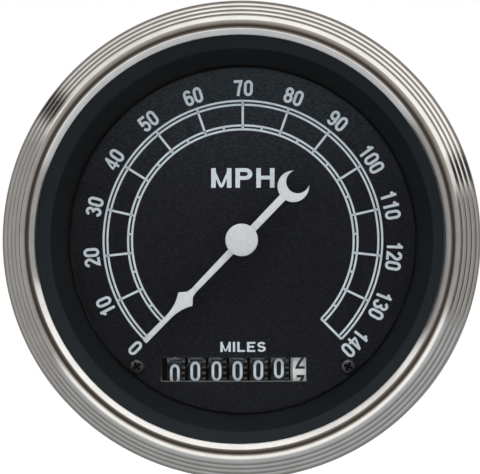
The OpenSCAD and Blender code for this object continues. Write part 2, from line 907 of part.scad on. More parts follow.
// Toothed ring about an opening, standing between two places along the drum's axis
module toothed_ring(teeth, mod, opening_r, low, width, angle) {
    translate([0, 0, low]) difference() {
        gear(teeth, mod, width, angle);
        bar(opening_r, -1, width + 1);
    }
}

// Drum's hub, web, rim and the collars beside it: left to the carry, right to a toothed ring
module drum_body(width, hub_right, right_collar) {
    half = width / 2;
    web = web_t / 2;
    bore_r = drum_axle_r + run_gap;
    rim_in_r = drum_r - rim_t;
    turned([
        [bore_r, -hub_left], [hub_r, -hub_left], [hub_r, -web], [collar_in_r, -web],
        [collar_in_r, -half - carry_t], [collar_r, -half - carry_t], [collar_r, -web],
        [rim_in_r, -web], [rim_in_r, -half], [drum_r, -half], [drum_r, half], [rim_in_r, half],
        [rim_in_r, web], [right_collar[1], web], [right_collar[1], right_collar[2]],
        [right_collar[0], right_collar[2]], [right_collar[0], web], [hub_r, web],
        [hub_r, hub_right], [bore_r, hub_right]
    ]);
}

// Mile drum number k from the left, with the ring that its transfer pinion turns
module mile_drum(k) {
    color(black_plastic) upright() on_axle(drum_axle_at, drum_x(k)) {
        drum_body(drum_w, drum_pitch - hub_left - end_gap, [collar_in_r, collar_r, drum_w / 2 + 0.1]);
        toothed_ring(ring_teeth, ring_module, collar_in_r, drum_w / 2, ring_t, transfer_angle);
    }
}

module drum_hundred_thousands() { mile_drum(0); }
module drum_ten_thousands() { mile_drum(1); }
module drum_thousands() { mile_drum(2); }
module drum_hundreds() { mile_drum(3); }
module drum_tens() { mile_drum(4); }
module drum_ones() { mile_drum(5); }

// White drum of the tenths, with the gear that drives the odometer
module drum_tenths() {
    drive_collar = [4.2, 5.2];
    drive_low = drive_x - tenths_x;
    color(white_plastic) upright() on_axle(drum_axle_at, tenths_x) {
        drum_body(
            tenths_w, right_plate_x - tenths_x - end_gap,
            [drive_collar[0], drive_collar[1], drive_low + 0.1]
        );
        toothed_ring(drive_teeth, drive_module, drive_collar[0], drive_low, drive_t, idler_angle);
    }
}

// Pinion to the right of mile drum k
module transfer_pinion(k) {
    color(white_plastic) upright() on_axle(transfer_at, drum_x(k) + transfer_x)
        toothed_ring(
            transfer_teeth, ring_module, small_axle_r + run_gap, 0, transfer_w,
            transfer_angle + 180 + 180 / transfer_teeth
        );
}

module transfer_pinion_1() { transfer_pinion(0); }
module transfer_pinion_2() { transfer_pinion(1); }
module transfer_pinion_3() { transfer_pinion(2); }
module transfer_pinion_4() { transfer_pinion(3); }
module transfer_pinion_5() { transfer_pinion(4); }
module transfer_pinion_6() { transfer_pinion(5); }

// Lamp holders pushed in from behind, each with a grip
module lamp_sockets() {
    flange_t = 1.6;
    color(black_plastic) upright() both_sides(lamp_at) difference() {
        union() {
            bar(8.2, case_rear - flange_t, case_rear);
            bar(socket_r, case_rear - weld, socket_front);
            block([11, 3.2], case_rear - 6.6, case_rear - flange_t + weld);
        }
        block([9.6, 2.4], socket_front - 4, socket_front + 1);
    }
}

// Wedge base bulbs
module lamp_bulbs() {
    color(clear_glass) upright() both_sides(lamp_at) {
        block([9.2, 2], socket_front - 3.9, socket_front + weld);
        turned(concat(
            [[0, socket_front], [3.6, socket_front], [bulb_r, socket_front + 2]],
            arc([0, bulb_shoulder], bulb_r, 0, 90, 8)
        ));
    }
}

// Moulded block that insulates the terminals from the case
module terminal_block() {
    color(black_plastic) upright() difference() {
        at_each([terminals_at]) {
            block([22, 21], block_rear, case_rear);
            block([18.3, 17.3], case_rear - weld, block_front);
        }
        at_each(terminal_places) bar(terminal_root_r + hole_gap / 2, block_rear - 1, block_front + 1);
    }
}

// Terminal studs: threaded end and hexagon outside, root through the block, tip in the board
module terminal_studs() {
    hex_rear = block_rear - 2.2;
    root_front = block_front + terminal_nut_h + 0.4;
    tip_front = board_front + 0.8;
    color(brass) upright() at_each(terminal_places) {
        turned([
            [0, terminal_end], [terminal_r - 0.5, terminal_end], [terminal_r, terminal_end + 0.5],
            [terminal_r, hex_rear + weld], [terminal_root_r, hex_rear + weld],
            [terminal_root_r, root_front], [terminal_tip_r, root_front],
            [terminal_tip_r, tip_front], [0, tip_front]
        ]);
        hex_bar(3.9, hex_rear, block_rear);
    }
}

// Nuts that hold the terminals inside the case
module terminal_nuts() {
    color(brass) upright() at_each(terminal_places) difference() {
        hex_bar(3.1, block_front, block_front + terminal_nut_h);
        bar(terminal_root_r + grip_gap, block_front - 1, block_front + terminal_nut_h + 1);
    }
}

// Studs with square heads inside the case
module mounting_studs() {
    color(zinc_plate) upright() both_sides([stud_spacing / 2, 0]) {
        turned([
            [0, stud_end], [stud_r - 0.5, stud_end], [stud_r, stud_end + 0.5],
            [stud_r, case_floor + weld], [0, case_floor + weld]
        ]);
        block([9, 9], case_floor, case_floor + 2);
    }
}

module stud_nuts() {
    color(zinc_plate) upright() both_sides([stud_spacing / 2, 0]) difference() {
        hex_bar(4.6, case_rear - stud_nut_h, case_rear);
        bar(stud_r + grip_gap, case_rear - stud_nut_h - 1, case_rear + 1);
    }
}

// Housing of the calibration button, soldered behind the board
module button_housing() {
    color(black_plastic) upright() at_each([button_at]) difference() {
        block([6, 6], housing_rear, board_rear);
        bar(button_collar_r + hole_gap, chamber_rear, chamber_front);
        bar(button_r + run_gap, housing_rear - 1, chamber_rear + 1);
    }
}

// Plunger that is pushed towards the board through the back of the case
module button_plunger() {
    collar_rear = chamber_rear + hole_gap;
    collar_front = collar_rear + button_collar_t;
    color(rubber_black) upright() at_each([button_at]) turned([
        [0, button_rear], [button_r - 0.4, button_rear], [button_r, button_rear + 0.4],
        [button_r, collar_rear], [button_collar_r, collar_rear], [button_collar_r, collar_front],
        [0, collar_front]
    ]);
}

// Outline of the strap in [x, z]: one corner bent at each end of the rear bar
function strap_side(side, x, z, r) =
    let (points = arc([x - r, z + r], r, 0, -90, 6))
    [for (p = points) [side * p[0], p[1]]];

// Strap that pulls the bezel against the panel, with its feet just behind the panel
module clamp_bracket() {
    in_x = clamp_out_x - clamp_t;
    in_z = clamp_rear + clamp_t;
    in_r = clamp_bend_r - clamp_t;
    right_in = strap_side(1, in_x, in_z, in_r);
    left_out = strap_side(-1, clamp_out_x, clamp_rear, clamp_bend_r);
    outline = concat(
        [[clamp_out_x, clamp_feet]], strap_side(1, clamp_out_x, clamp_rear, clamp_bend_r),
        [for (k = [len(left_out) - 1:-1:0]) left_out[k]],
        [[-clamp_out_x, clamp_feet], [-in_x, clamp_feet]], strap_side(-1, in_x, in_z, in_r),
        [for (k = [len(right_in) - 1:-1:0]) right_in[k]], [[in_x, clamp_feet]]
    );
    color(zinc_plate) upright() difference() {
        translate([0, clamp_w / 2, 0]) rotate([90, 0, 0]) linear_extrude(clamp_w) polygon(outline);
        both_sides([stud_spacing / 2, 0]) bar(stud_r + 2 * hole_gap, clamp_rear - 1, in_z + 1);
    }
}

// Split lock washers under the knurled nuts
module clamp_washers() {
    color(zinc_plate) upright() both_sides([stud_spacing / 2, 0]) difference() {
        bar(4.2, clamp_rear - washer_t, clamp_rear);
        bar(stud_r + 2 * hole_gap, clamp_rear - washer_t - 1, clamp_rear + 1);
        translate([3, 0, 0]) block([4, 0.6], clamp_rear - washer_t - 1, clamp_rear + 1);
    }
}

// Knurled thumb nut
module clamp_nut(side) {
    high = clamp_rear - washer_t;
    low = high - knurl_h;
    neck_h = 1.2;
    outline = [
        for (k = [0:2 * knurls - 1])
            (knurl_r - knurl_depth * (k % 2)) * [cos(180 * k / knurls), sin(180 * k / knurls)]
    ];
    color(brass) upright() translate([side * stud_spacing / 2, 0, 0]) difference() {
        union() {
            translate([0, 0, low]) linear_extrude(knurl_h - neck_h) polygon(outline);
            bar(4, high - neck_h - weld, high);
        }
        bar(stud_r + run_gap, low - 1, high + 1);
    }
}

module clamp_nut_left() { clamp_nut(-1); }
module clamp_nut_right() { clamp_nut(1); }

bezel();
glass_lens();
lens_gasket();
trim_ring();
case_cup();
dial_plate();
dial_screws();
dial_pillars();
movement_plate();
frame_screws();
board_standoffs();
case_screws();
circuit_board();
board_components();
movement_can();
movement_cover();
former_front();
former_rear();
inner_coil();
outer_coil();
spindle_bushes();
connection_pins();
pointer();
pointer_cap();
pointer_spindle();
rotor_magnet();
left_side_plate();
right_side_plate();
odometer_axles();
transfer_spacers();
odometer_motor();
motor_pinion();
idler_gear();
drum_hundred_thousands();
drum_ten_thousands();
drum_thousands();
drum_hundreds();
drum_tens();
drum_ones();
drum_tenths();
transfer_pinion_1();
transfer_pinion_2();
transfer_pinion_3();
transfer_pinion_4();
transfer_pinion_5();
transfer_pinion_6();
lamp_sockets();
lamp_bulbs();
terminal_block();
terminal_studs();
terminal_nuts();
mounting_studs();
stud_nuts();
button_housing();
button_plunger();
clamp_bracket();
clamp_washers();
clamp_nut_left();
clamp_nut_right();
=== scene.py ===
"""Finishes, printing, figures and studio for a panel speedometer."""

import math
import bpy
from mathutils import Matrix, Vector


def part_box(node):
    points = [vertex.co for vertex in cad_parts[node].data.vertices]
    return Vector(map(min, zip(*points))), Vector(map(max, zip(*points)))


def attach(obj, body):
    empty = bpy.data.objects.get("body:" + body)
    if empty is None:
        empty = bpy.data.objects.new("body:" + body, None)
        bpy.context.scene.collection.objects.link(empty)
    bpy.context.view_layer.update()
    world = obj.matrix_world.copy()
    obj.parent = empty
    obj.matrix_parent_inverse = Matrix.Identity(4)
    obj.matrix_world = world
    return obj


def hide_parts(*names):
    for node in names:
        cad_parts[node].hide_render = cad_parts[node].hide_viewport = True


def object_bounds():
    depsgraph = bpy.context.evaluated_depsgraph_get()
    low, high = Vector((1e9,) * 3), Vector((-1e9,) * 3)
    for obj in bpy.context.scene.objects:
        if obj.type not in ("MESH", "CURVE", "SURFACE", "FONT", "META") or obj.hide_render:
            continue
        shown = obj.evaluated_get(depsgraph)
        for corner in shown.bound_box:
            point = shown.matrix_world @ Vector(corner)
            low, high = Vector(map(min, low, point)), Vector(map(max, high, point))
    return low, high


bl_info = {
    "name": "Panel Speedometer",
    "version": (1, 0, 0),
    "blender": (4, 5, 0),
    "location": "3D Viewport > Sidebar > Speedometer",
    "description": "Dresses a panel speedometer with its finishes, printing, drum figures and studio",
    "category": "Object",
}

import bmesh
import bpy
from bpy.props import FloatProperty, FloatVectorProperty, IntProperty, PointerProperty
from bpy.types import Operator, Panel, PropertyGroup
from mathutils import Matrix, Vector
from mathutils.geometry import delaunay_2d_cdt

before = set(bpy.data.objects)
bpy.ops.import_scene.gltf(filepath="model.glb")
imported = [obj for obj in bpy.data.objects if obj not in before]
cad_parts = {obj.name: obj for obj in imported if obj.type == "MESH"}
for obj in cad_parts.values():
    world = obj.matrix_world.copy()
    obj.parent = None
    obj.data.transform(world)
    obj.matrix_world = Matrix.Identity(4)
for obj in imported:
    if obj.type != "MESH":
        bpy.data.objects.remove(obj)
cad_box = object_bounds()

MM = 0.001
# Segments of a turned piece
STEPS = 256
BEZEL_LOW, BEZEL_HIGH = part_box("bezel")
DIAL_LOW, DIAL_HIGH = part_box("dial_plate")
CASE_LOW, CASE_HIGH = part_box("case_cup")
RING_LOW, RING_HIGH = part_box("trim_ring")
# Front of the dial's paint, from which the scale stands proud
DIAL_FACE = DIAL_LOW.y + 0.05 * MM
# Thickness of the print, and how much of it is sunk in the surface that it is on
DIAL_INK, DRUM_INK, SUNK = 0.06 * MM, 0.05 * MM, 0.02 * MM
# Middle of the drums' axle
AXLE = sum(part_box("drum_ones"), Vector()) / 2
DRUM_NODES = (
    "drum_hundred_thousands", "drum_ten_thousands", "drum_thousands", "drum_hundreds",
    "drum_tens", "drum_ones", "drum_tenths",
)
DRUM_BODIES = (
    "hundred_thousands_wheel", "ten_thousands_wheel", "thousands_wheel", "hundreds_wheel",
    "tens_wheel", "ones_wheel", "tenths_wheel",
)


def length(name, words, default):
    """Property for a length in metres."""
    return FloatProperty(name=name, description=words, default=default, unit="LENGTH", precision=5)


def angle(name, words, default):
    """Property for an angle, given in degrees."""
    return FloatProperty(name=name, description=words, default=math.radians(default), subtype="ANGLE")


def tint(name, words, default):
    """Property for a colour."""
    return FloatVectorProperty(name=name, description=words, default=default, subtype="COLOR", size=3)


class BezelSettings(PropertyGroup):
    """Sizes and plating of the bezel and the ring inside it"""

    lip: length("Lip radius", "Radius of the opening inside the lip", 40.15 * MM)
    crest: length("Crest radius", "Distance of the crest from the axis", 42 * MM)
    inner_radius: length("Inner rounding", "Radius of the crest's inner side", 2.7 * MM)
    outer_radius: length("Outer rounding", "Radius of the crest's outer side", 2.1 * MM)
    lip_tilt: angle("Lip tilt", "Slope of the lip", 38)
    crest_tilt: angle("Crest tilt", "Slope where the lip rounds over to the crest", 14)
    flank_tilt: angle("Flank tilt", "Slope at the foot of the crest's outer side", 42)
    reeds: IntProperty(name="Reeds", description="Reeds outside the crest", default=4, min=2, max=6)
    bulge: length("Reed bulge", "Height of a reed's curve", 0.075 * MM)
    plating: tint("Plating", "Colour of the plating", (0.86, 0.84, 0.81))
    ring_paint: tint("Ring paint", "Colour of the trim ring", (0.0053, 0.0078, 0.0098))
    # Lighter, bluer colour that the ring's paint runs to on its outer cone
    ring_dust: tint("Ring dust", "Colour of the trim ring's dusty outer cone", (0.0168, 0.0206, 0.0238))


class DialSettings(PropertyGroup):
    """Paints and printing of the dial and the pointer"""

    zero_angle: angle("Zero", "Angle of the scale's zero from 3 o'clock", 225)
    sweep: angle("Sweep", "Sweep of the scale", 270)
    top_speed: IntProperty(name="Top speed", description="Highest speed on the scale", default=140)
    line_radius: length("Line radius", "Radius of the scale's outer line", 27.59 * MM)
    scale_height: length("Scale height", "From the outer line to the inner line", 5.64 * MM)
    figure_radius: length("Figure radius", "Radius at the middle of the figures", 30.12 * MM)
    figure_height: length("Figure height", "Height of the figures", 3.15 * MM)
    figure_width: length("Figure width", "Width of a figure", 1.76 * MM)
    figure_stroke: length("Figure stroke", "Width of a figure's strokes", 0.54 * MM)
    figure_step: angle("Figure step", "Angle from one figure to the next", 3.75)
    paint: tint("Dial paint", "Colour of the dial", (0.0068, 0.0076, 0.0106))
    # Painted light: lighter colour that the dial's paint runs to at its top, standing in for the light
    # that falls there
    haze: tint("Haze", "Colour of the dial where it has faded at the top", (0.03, 0.042, 0.05))
    ink: tint("Ink", "Colour of the printing", (0.585, 0.66, 0.705))
    cap_paint: tint("Cap", "Colour of the pointer's cap", (0.55, 0.575, 0.59))
    pointer_paint: tint("Pointer", "Colour of the pointer", (0.59, 0.62, 0.645))


class OdometerSettings(PropertyGroup):
    """Drums of the odometer and their figures"""

    figure_height: length("Figure height", "Height of a drum's figures", 3.97 * MM)
    figure_width: length("Figure width", "Width of a drum's figures", 1.93 * MM)
    figure_stroke: length("Stroke", "Width of a stroke", 0.52 * MM)
    white_ink: tint("Figures", "Colour of the mile drums' figures", (0.68, 0.76, 0.82))
    black: tint("Mile drums", "Colour of the mile drums", (0.007, 0.014, 0.021))
    # Painted highlight: grey that the drums' teeth are painted, standing in for the light on their tips
    teeth: tint("Teeth", "Colour of the drums' worn teeth", (0.24, 0.23, 0.21))
    white: tint("Tenths drum", "Colour of the tenths drum", (0.88, 0.96, 0.96))


class StageSettings(PropertyGroup):
    """Camera, floor and lights"""

    azimuth: angle("Azimuth", "Camera's angle from the dial's axis, to the right", 3.5)
    elevation: angle("Elevation", "Camera's angle above the dial's axis", -1.33)
    distance: length("Distance", "From the camera to the gauge", 1.2)
    lens: FloatProperty(name="Lens", description="Focal length in millimetres", default=456.9)
    ambient: FloatProperty(name="Ambient", description="Strength of the light all round", default=0.48)
    tent_radius: length("Tent radius", "Radius of the cloth round the set", 2.2)


def feed(tree, socket, value):
    """Links a socket to an output, or sets it to a plain value."""
    if isinstance(value, bpy.types.NodeSocket):
        tree.links.new(value, socket)
    else:
        socket.default_value = value


def node(tree, kind, **inputs):
    """New shader node, its inputs fed by name."""
    made = tree.nodes.new(kind)
    for name, value in inputs.items():
        feed(tree, made.inputs[name.replace("_", " ")], value)
    return made


def reckon(tree, operation, *values, vector=False):
    """Output of a math node on outputs and plain values."""
    made = node(tree, "ShaderNodeVectorMath" if vector else "ShaderNodeMath")
    made.operation = operation
    for socket, value in zip(made.inputs, values):
        feed(tree, socket, value)
    return made.outputs["Vector" if vector and operation != "LENGTH" else "Value"]


def ramp(tree, source, stops):
    """Colour ramp with stops of (share of the way, colour)."""
    made = node(tree, "ShaderNodeValToRGB", Fac=source)
    elements = made.color_ramp.elements
    for k, (place, colour) in enumerate(stops):
        stop = elements[k] if k < 2 else elements.new(place)
        stop.position = place
        stop.color = (*colour, 1)
    return made.outputs["Color"]


def blend(tree, weight, first, second):
    """Mixes two colours by a weight."""
    mix = node(tree, "ShaderNodeMix", Factor=weight)
    mix.data_type = "RGBA"
    feed(tree, mix.inputs[6], first)
    feed(tree, mix.inputs[7], second)
    return mix.outputs[2]


def surface(tree, output, weight, first, second):
    """Mixes two shaders by a weight and gives them to the tree's output."""
    mix = node(tree, "ShaderNodeMixShader", Fac=weight)
    feed(tree, mix.inputs[1], first.outputs[0])
    feed(tree, mix.inputs[2], second.outputs[0])
    feed(tree, tree.nodes[output].inputs["Surface"], mix.outputs["Shader"])


def on_piece(tree):
    """The piece's own coordinates."""
    return node(tree, "ShaderNodeTexCoord").outputs["Object"]


def spread(tree, value, low, high, start=0.0, end=1.0):
    """Maps a value's range from low to high on to start to end."""
    made = node(
        tree, "ShaderNodeMapRange", Value=value, From_Min=low, From_Max=high, To_Min=start, To_Max=end,
    )
    return made.outputs["Result"]


def shader(material):
    """The material's Principled shader."""
    return material.node_tree.nodes["Principled BSDF"]


def finish(name, colour, metallic, roughness, specular=0.5):
    """New material on a Principled shader."""
    material = bpy.data.materials.new(name)
    material.use_nodes = True
    inputs = shader(material).inputs
    inputs["Base Color"].default_value = (*colour, 1)
    inputs["Metallic"].default_value = metallic
    inputs["Roughness"].default_value = roughness
    inputs["Specular IOR Level"].default_value = specular
    return material


def grain(material, scale, stretch=(1, 1, 1), detail=4):
    """Noise on the piece's own coordinates, in cells for each metre."""
    tree = material.node_tree
    mapping = node(tree, "ShaderNodeMapping", Vector=on_piece(tree), Scale=stretch)
    noise = node(
        tree, "ShaderNodeTexNoise", Vector=mapping.outputs["Vector"], Scale=scale, Detail=detail,
    )
    return noise.outputs["Fac"]


def axis_radius(tree):
    """Distance from the dial's axis, and the depth behind the panel."""
    place = on_piece(tree)
    flat = reckon(tree, "MULTIPLY", place, (1, 0, 1), vector=True)
    split = node(tree, "ShaderNodeSeparateXYZ", Vector=place)
    return reckon(tree, "LENGTH", flat, vector=True), split.outputs["Y"]


def ring_grain(material, scale):
    """Noise that runs round the dial's axis, as turning or brushing leaves it."""
    tree = material.node_tree
    radius, depth = axis_radius(tree)
    both = node(tree, "ShaderNodeCombineXYZ", X=radius, Y=depth)
    noise = node(tree, "ShaderNodeTexNoise", Vector=both.outputs["Vector"], Scale=scale, Detail=3)
    return noise.outputs["Fac"]


def graded(material, axis, start, end, first, last):
    """Blends the base colour from first to last between two places on an axis of the piece."""
    tree = material.node_tree
    split = node(tree, "ShaderNodeSeparateXYZ", Vector=on_piece(tree))
    share = spread(tree, split.outputs[axis], start, end)
    feed(tree, shader(material).inputs["Base Color"], blend(tree, share, (*first, 1), (*last, 1)))


def roughen(material, pattern, low, high):
    """Runs the roughness between two values by a pattern's middle range."""
    tree = material.node_tree
    feed(tree, shader(material).inputs["Roughness"], spread(tree, pattern, 0.3, 0.7, low, high))


def mottle(material, pattern, dark, light, *more):
    """Runs the base colour between two shades of itself, and on to any stops that follow."""
    base = shader(material).inputs["Base Color"]
    shades = [[min(1, c * shade) for c in base.default_value[:3]] for shade in (dark, light)]
    tree = material.node_tree
    feed(tree, base, ramp(tree, pattern, ((0.35, shades[0]), (0.65, shades[1]), *more)))


def emboss(material, pattern, strength, depth=0.02 * MM):
    """Bump from a pattern, its depth in metres."""
    tree = material.node_tree
    bump = node(tree, "ShaderNodeBump", Strength=strength, Distance=depth, Height=pattern)
    feed(tree, shader(material).inputs["Normal"], bump.outputs["Normal"])


def bezel_plating(settings):
    """Polished plating with the faint rings that buffing leaves."""
    made = finish("bezel_plating", settings.plating, 1, 0.12)
    roughen(made, ring_grain(made, 9000), 0.07, 0.2)
    mottle(made, grain(made, 260), 0.95, 1.04)
    emboss(made, ring_grain(made, 14000), 0.12)
    return made


def zinc_plating():
    """Bright zinc with a faint cloudiness."""
    made = finish("zinc_plating", (0.6, 0.61, 0.62), 1, 0.3)
    mottle(made, grain(made, 150), 0.86, 1.06)
    roughen(made, grain(made, 420), 0.24, 0.42)
    emboss(made, grain(made, 5000, detail=6), 0.15)
    return made


def case_plating():
    """Drawn steel, plated yellow-white, with lines drawn along the depth."""
    made = finish("case_plating", (0.56, 0.55, 0.5), 1, 0.32)
    mottle(made, grain(made, 60), 0.84, 1.08)
    roughen(made, grain(made, 900, (1, 0.05, 1)), 0.22, 0.42)
    emboss(made, grain(made, 3000, (1, 0.03, 1)), 0.2)
    return made


def turned_brass():
    """Brass with fine turning marks."""
    made = finish("turned_brass", (0.62, 0.43, 0.16), 1, 0.28)
    mottle(made, grain(made, 300), 0.85, 1.08)
    roughen(made, grain(made, 2500, (1, 6, 1)), 0.2, 0.4)
    emboss(made, grain(made, 2500, (1, 8, 1)), 0.15)
    return made


def ring_paint(settings):
    """Satin black paint with a fine orange peel, near black at the ring's foot as painted shade, and
    lighter and bluer on its outer cone.
    """
    paint, outer_cone = settings.ring_paint, settings.ring_dust
    made = finish("ring_paint", paint, 0, 0.42, 0.04)
    tree = made.node_tree
    radius, _ = axis_radius(tree)
    start, end = 34, 41
    # Painted shade: the paint turns near black at the foot, where the ring meets the dial, standing in
    # for the shadow there
    stops = ((34.5, paint, 0.02), (34.95, paint, 0.8), (37.6, paint, 0.95), (38, outer_cone, 1))
    colours = ramp(tree, spread(tree, radius, start * MM, end * MM), [
        ((place - start) / (end - start), [c * shade for c in colour]) for place, colour, shade in stops
    ])
    feed(tree, shader(made).inputs["Base Color"], colours)
    roughen(made, grain(made, 700), 0.36, 0.5)
    emboss(made, grain(made, 4500, detail=6), 0.3, 0.03 * MM)
    return made


def dial_paint(settings):
    """Matt black over a plate brushed from side to side, with painted light: lighter towards its top
    and a little towards its foot.
    """
    made = finish("dial_paint", settings.paint, 0, 0.62, 0.12)
    tree = made.node_tree
    up = node(tree, "ShaderNodeSeparateXYZ", Vector=on_piece(tree)).outputs["Z"]
    # Painted light and shade: the paint runs lighter with height and darker lower down, over the
    # brushing grain
    grain_and_painted_light = reckon(tree, "MULTIPLY_ADD", up, 4, grain(made, 4200, (0.3, 1, 1), 3))
    # Painted light: lighter still towards the top and the foot of the dial
    haze = spread(tree, reckon(tree, "ABSOLUTE", up), 10 * MM, 34 * MM, 0, 0.19)
    mottle(made, reckon(tree, "ADD", haze, grain_and_painted_light), 0.35, 1.75, (0.9, settings.haze))
    emboss(made, grain(made, 4200, (0.6, 1, 1), 6), 0.12)
    return made


def cut_edge():
    """Sheared edge of the dial's window, grey along its foot and darkened above it as painted shade."""
    made = finish("cut_edge", (0.3, 0.3, 0.29), 0, 0.5, 0.2)
    # Painted shade: grey at the foot, which faces up to the lamps, turning near black above, where they
    # don't reach
    graded(made, "Z", -27.7 * MM, -26.7 * MM, (0.14, 0.14, 0.13), (0.016, 0.017, 0.019))
    emboss(made, grain(made, 6000, detail=6), 0.3)
    return made


def paint(name, colour, roughness):
    """Screen ink or enamel with a slight unevenness."""
    made = finish(name, colour, 0, roughness)
    mottle(made, grain(made, 1200), 0.94, 1.05)
    emboss(made, grain(made, 5200, detail=5), 0.2)
    return made


def moulding(name, colour, roughness, specular=0.5):
    """Moulded plastic with a fine spark-eroded texture."""
    made = finish(name, colour, 0, roughness, specular)
    mottle(made, grain(made, 500), 0.88, 1.12)
    roughen(made, grain(made, 800), roughness - 0.06, roughness + 0.08)
    emboss(made, grain(made, 6000, detail=6), 0.25)
    return made


def screw_black():
    """Steel blackened in oil, rubbed grey on the head's face, with painted shade in its recess and
    round the head's foot.
    """
    made = finish("screw_black", (0.14, 0.145, 0.15), 1, 0.38)
    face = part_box("dial_screws")[0].y
    rubbed, painted_recess_shade = (0.1, 0.105, 0.11), (0.004, 0.004, 0.004)
    # Painted shade: near black deeper than the head's face, in the cross recess and round the head's
    # foot
    graded(made, "Y", face + 0.3 * MM, face + 0.45 * MM, rubbed, painted_recess_shade)
    roughen(made, grain(made, 1500), 0.28, 0.45)
    emboss(made, grain(made, 5000, detail=6), 0.2)
    return made


def drum_black(settings):
    """Polished black moulding, its teeth painted grey as painted highlights that stand out in the dark
    gaps.
    """
    made = finish("drum_black", settings.black, 0, 0.3, 0.9)
    tree = made.node_tree
    off_axle = reckon(
        tree, "MULTIPLY_ADD", on_piece(tree), (0, 1, 1), (0, -AXLE.y, -AXLE.z), vector=True,
    )
    radius = reckon(tree, "LENGTH", off_axle, vector=True)
    # Painted highlight: a grey band at the teeth's radius, so that they show in the dark gaps between
    # the drums
    tooth_highlight = (
        (0.35, settings.black), (0.75, settings.teeth), (0.9, settings.teeth), (0.95, settings.black),
    )
    colours = ramp(tree, spread(tree, radius, 6.5 * MM, 7.5 * MM), tooth_highlight)
    feed(tree, shader(made).inputs["Base Color"], colours)
    roughen(made, grain(made, 800), 0.14, 0.22)
    emboss(made, grain(made, 6000, detail=6), 0.06)
    return made


def clear_glass():
    """Glass that lets the lamps through to the dial."""
    made = finish("clear_glass", (1, 1, 1), 0, 0.0)
    tree = made.node_tree
    glass = shader(made)
    glass.inputs["Transmission Weight"].default_value = 1
    glass.inputs["IOR"].default_value = 1.45
    path = node(tree, "ShaderNodeLightPath").outputs
    lamplight = reckon(tree, "MAXIMUM", path["Is Shadow Ray"], path["Is Diffuse Ray"])
    surface(tree, "Material Output", lamplight, glass, node(tree, "ShaderNodeBsdfTransparent"))
    return made


def placed(name, bm, material):
    """Object from a finished bmesh."""
    mesh = bpy.data.meshes.new(name)
    bm.to_mesh(mesh)
    bm.free()
    mesh.materials.append(material)
    made = bpy.data.objects.new(name, mesh)
    bpy.context.scene.collection.objects.link(made)
    return made


def piece(name, bm, material, body, replaced=(), crease=35):
    """Piece from a finished bmesh, riding on a body."""
    made = placed(name, bm, material)
    made.data.shade_smooth()
    made.data.set_sharp_from_angle(angle=math.radians(crease))
    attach(made, body)
    if replaced:
        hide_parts(*replaced)


def dress(material, *names):
    """Gives solids their finish."""
    for name in names:
        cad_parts[name].data.materials.clear()
        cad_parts[name].data.materials.append(material)


def turned(profile, steps=STEPS):
    """Solid of revolution from a closed ring of points of (radius, depth behind the panel)."""
    bm = bmesh.new()
    verts = [bm.verts.new((radius, depth, 0)) for radius, depth in profile]
    edges = [bm.edges.new(pair) for pair in zip(verts, verts[1:] + verts[:1])]
    bmesh.ops.spin(
        bm, geom=verts + edges, cent=(0, 0, 0), axis=(0, 1, 0), dvec=(0, 0, 0),
        angle=math.tau, steps=steps, use_merge=True, use_duplicate=False,
    )
    bmesh.ops.remove_doubles(bm, verts=bm.verts, dist=0.001 * MM)
    bmesh.ops.recalc_face_normals(bm, faces=bm.faces)
    return bm


def bulged(start, end, bulge, steps):
    """Points from start up to end, without end, on a curve that stands out to the left."""
    start = Vector(start)
    end = Vector(end)
    side = Vector((start.y - end.y, end.x - start.x)).normalized()
    shares = [i / steps for i in range(steps)]
    return [start.lerp(end, t) + side * bulge * math.sin(math.pi * t) for t in shares]


def arc(centre, radii, first, last, steps):
    """Points of an elliptical arc between two angles in degrees."""
    angles = [math.radians(first + (last - first) * i / steps) for i in range(steps + 1)]
    return [
        Vector((centre[0] + radii[0] * math.cos(a), centre[1] + radii[1] * math.sin(a))) for a in angles
    ]


def loop(low, high, radii, steps):
    """Closed ring of two half arcs, one over the other."""
    return arc((0.5, high), radii, 0, 180, steps) + arc((0.5, low), radii, 180, 360, steps)


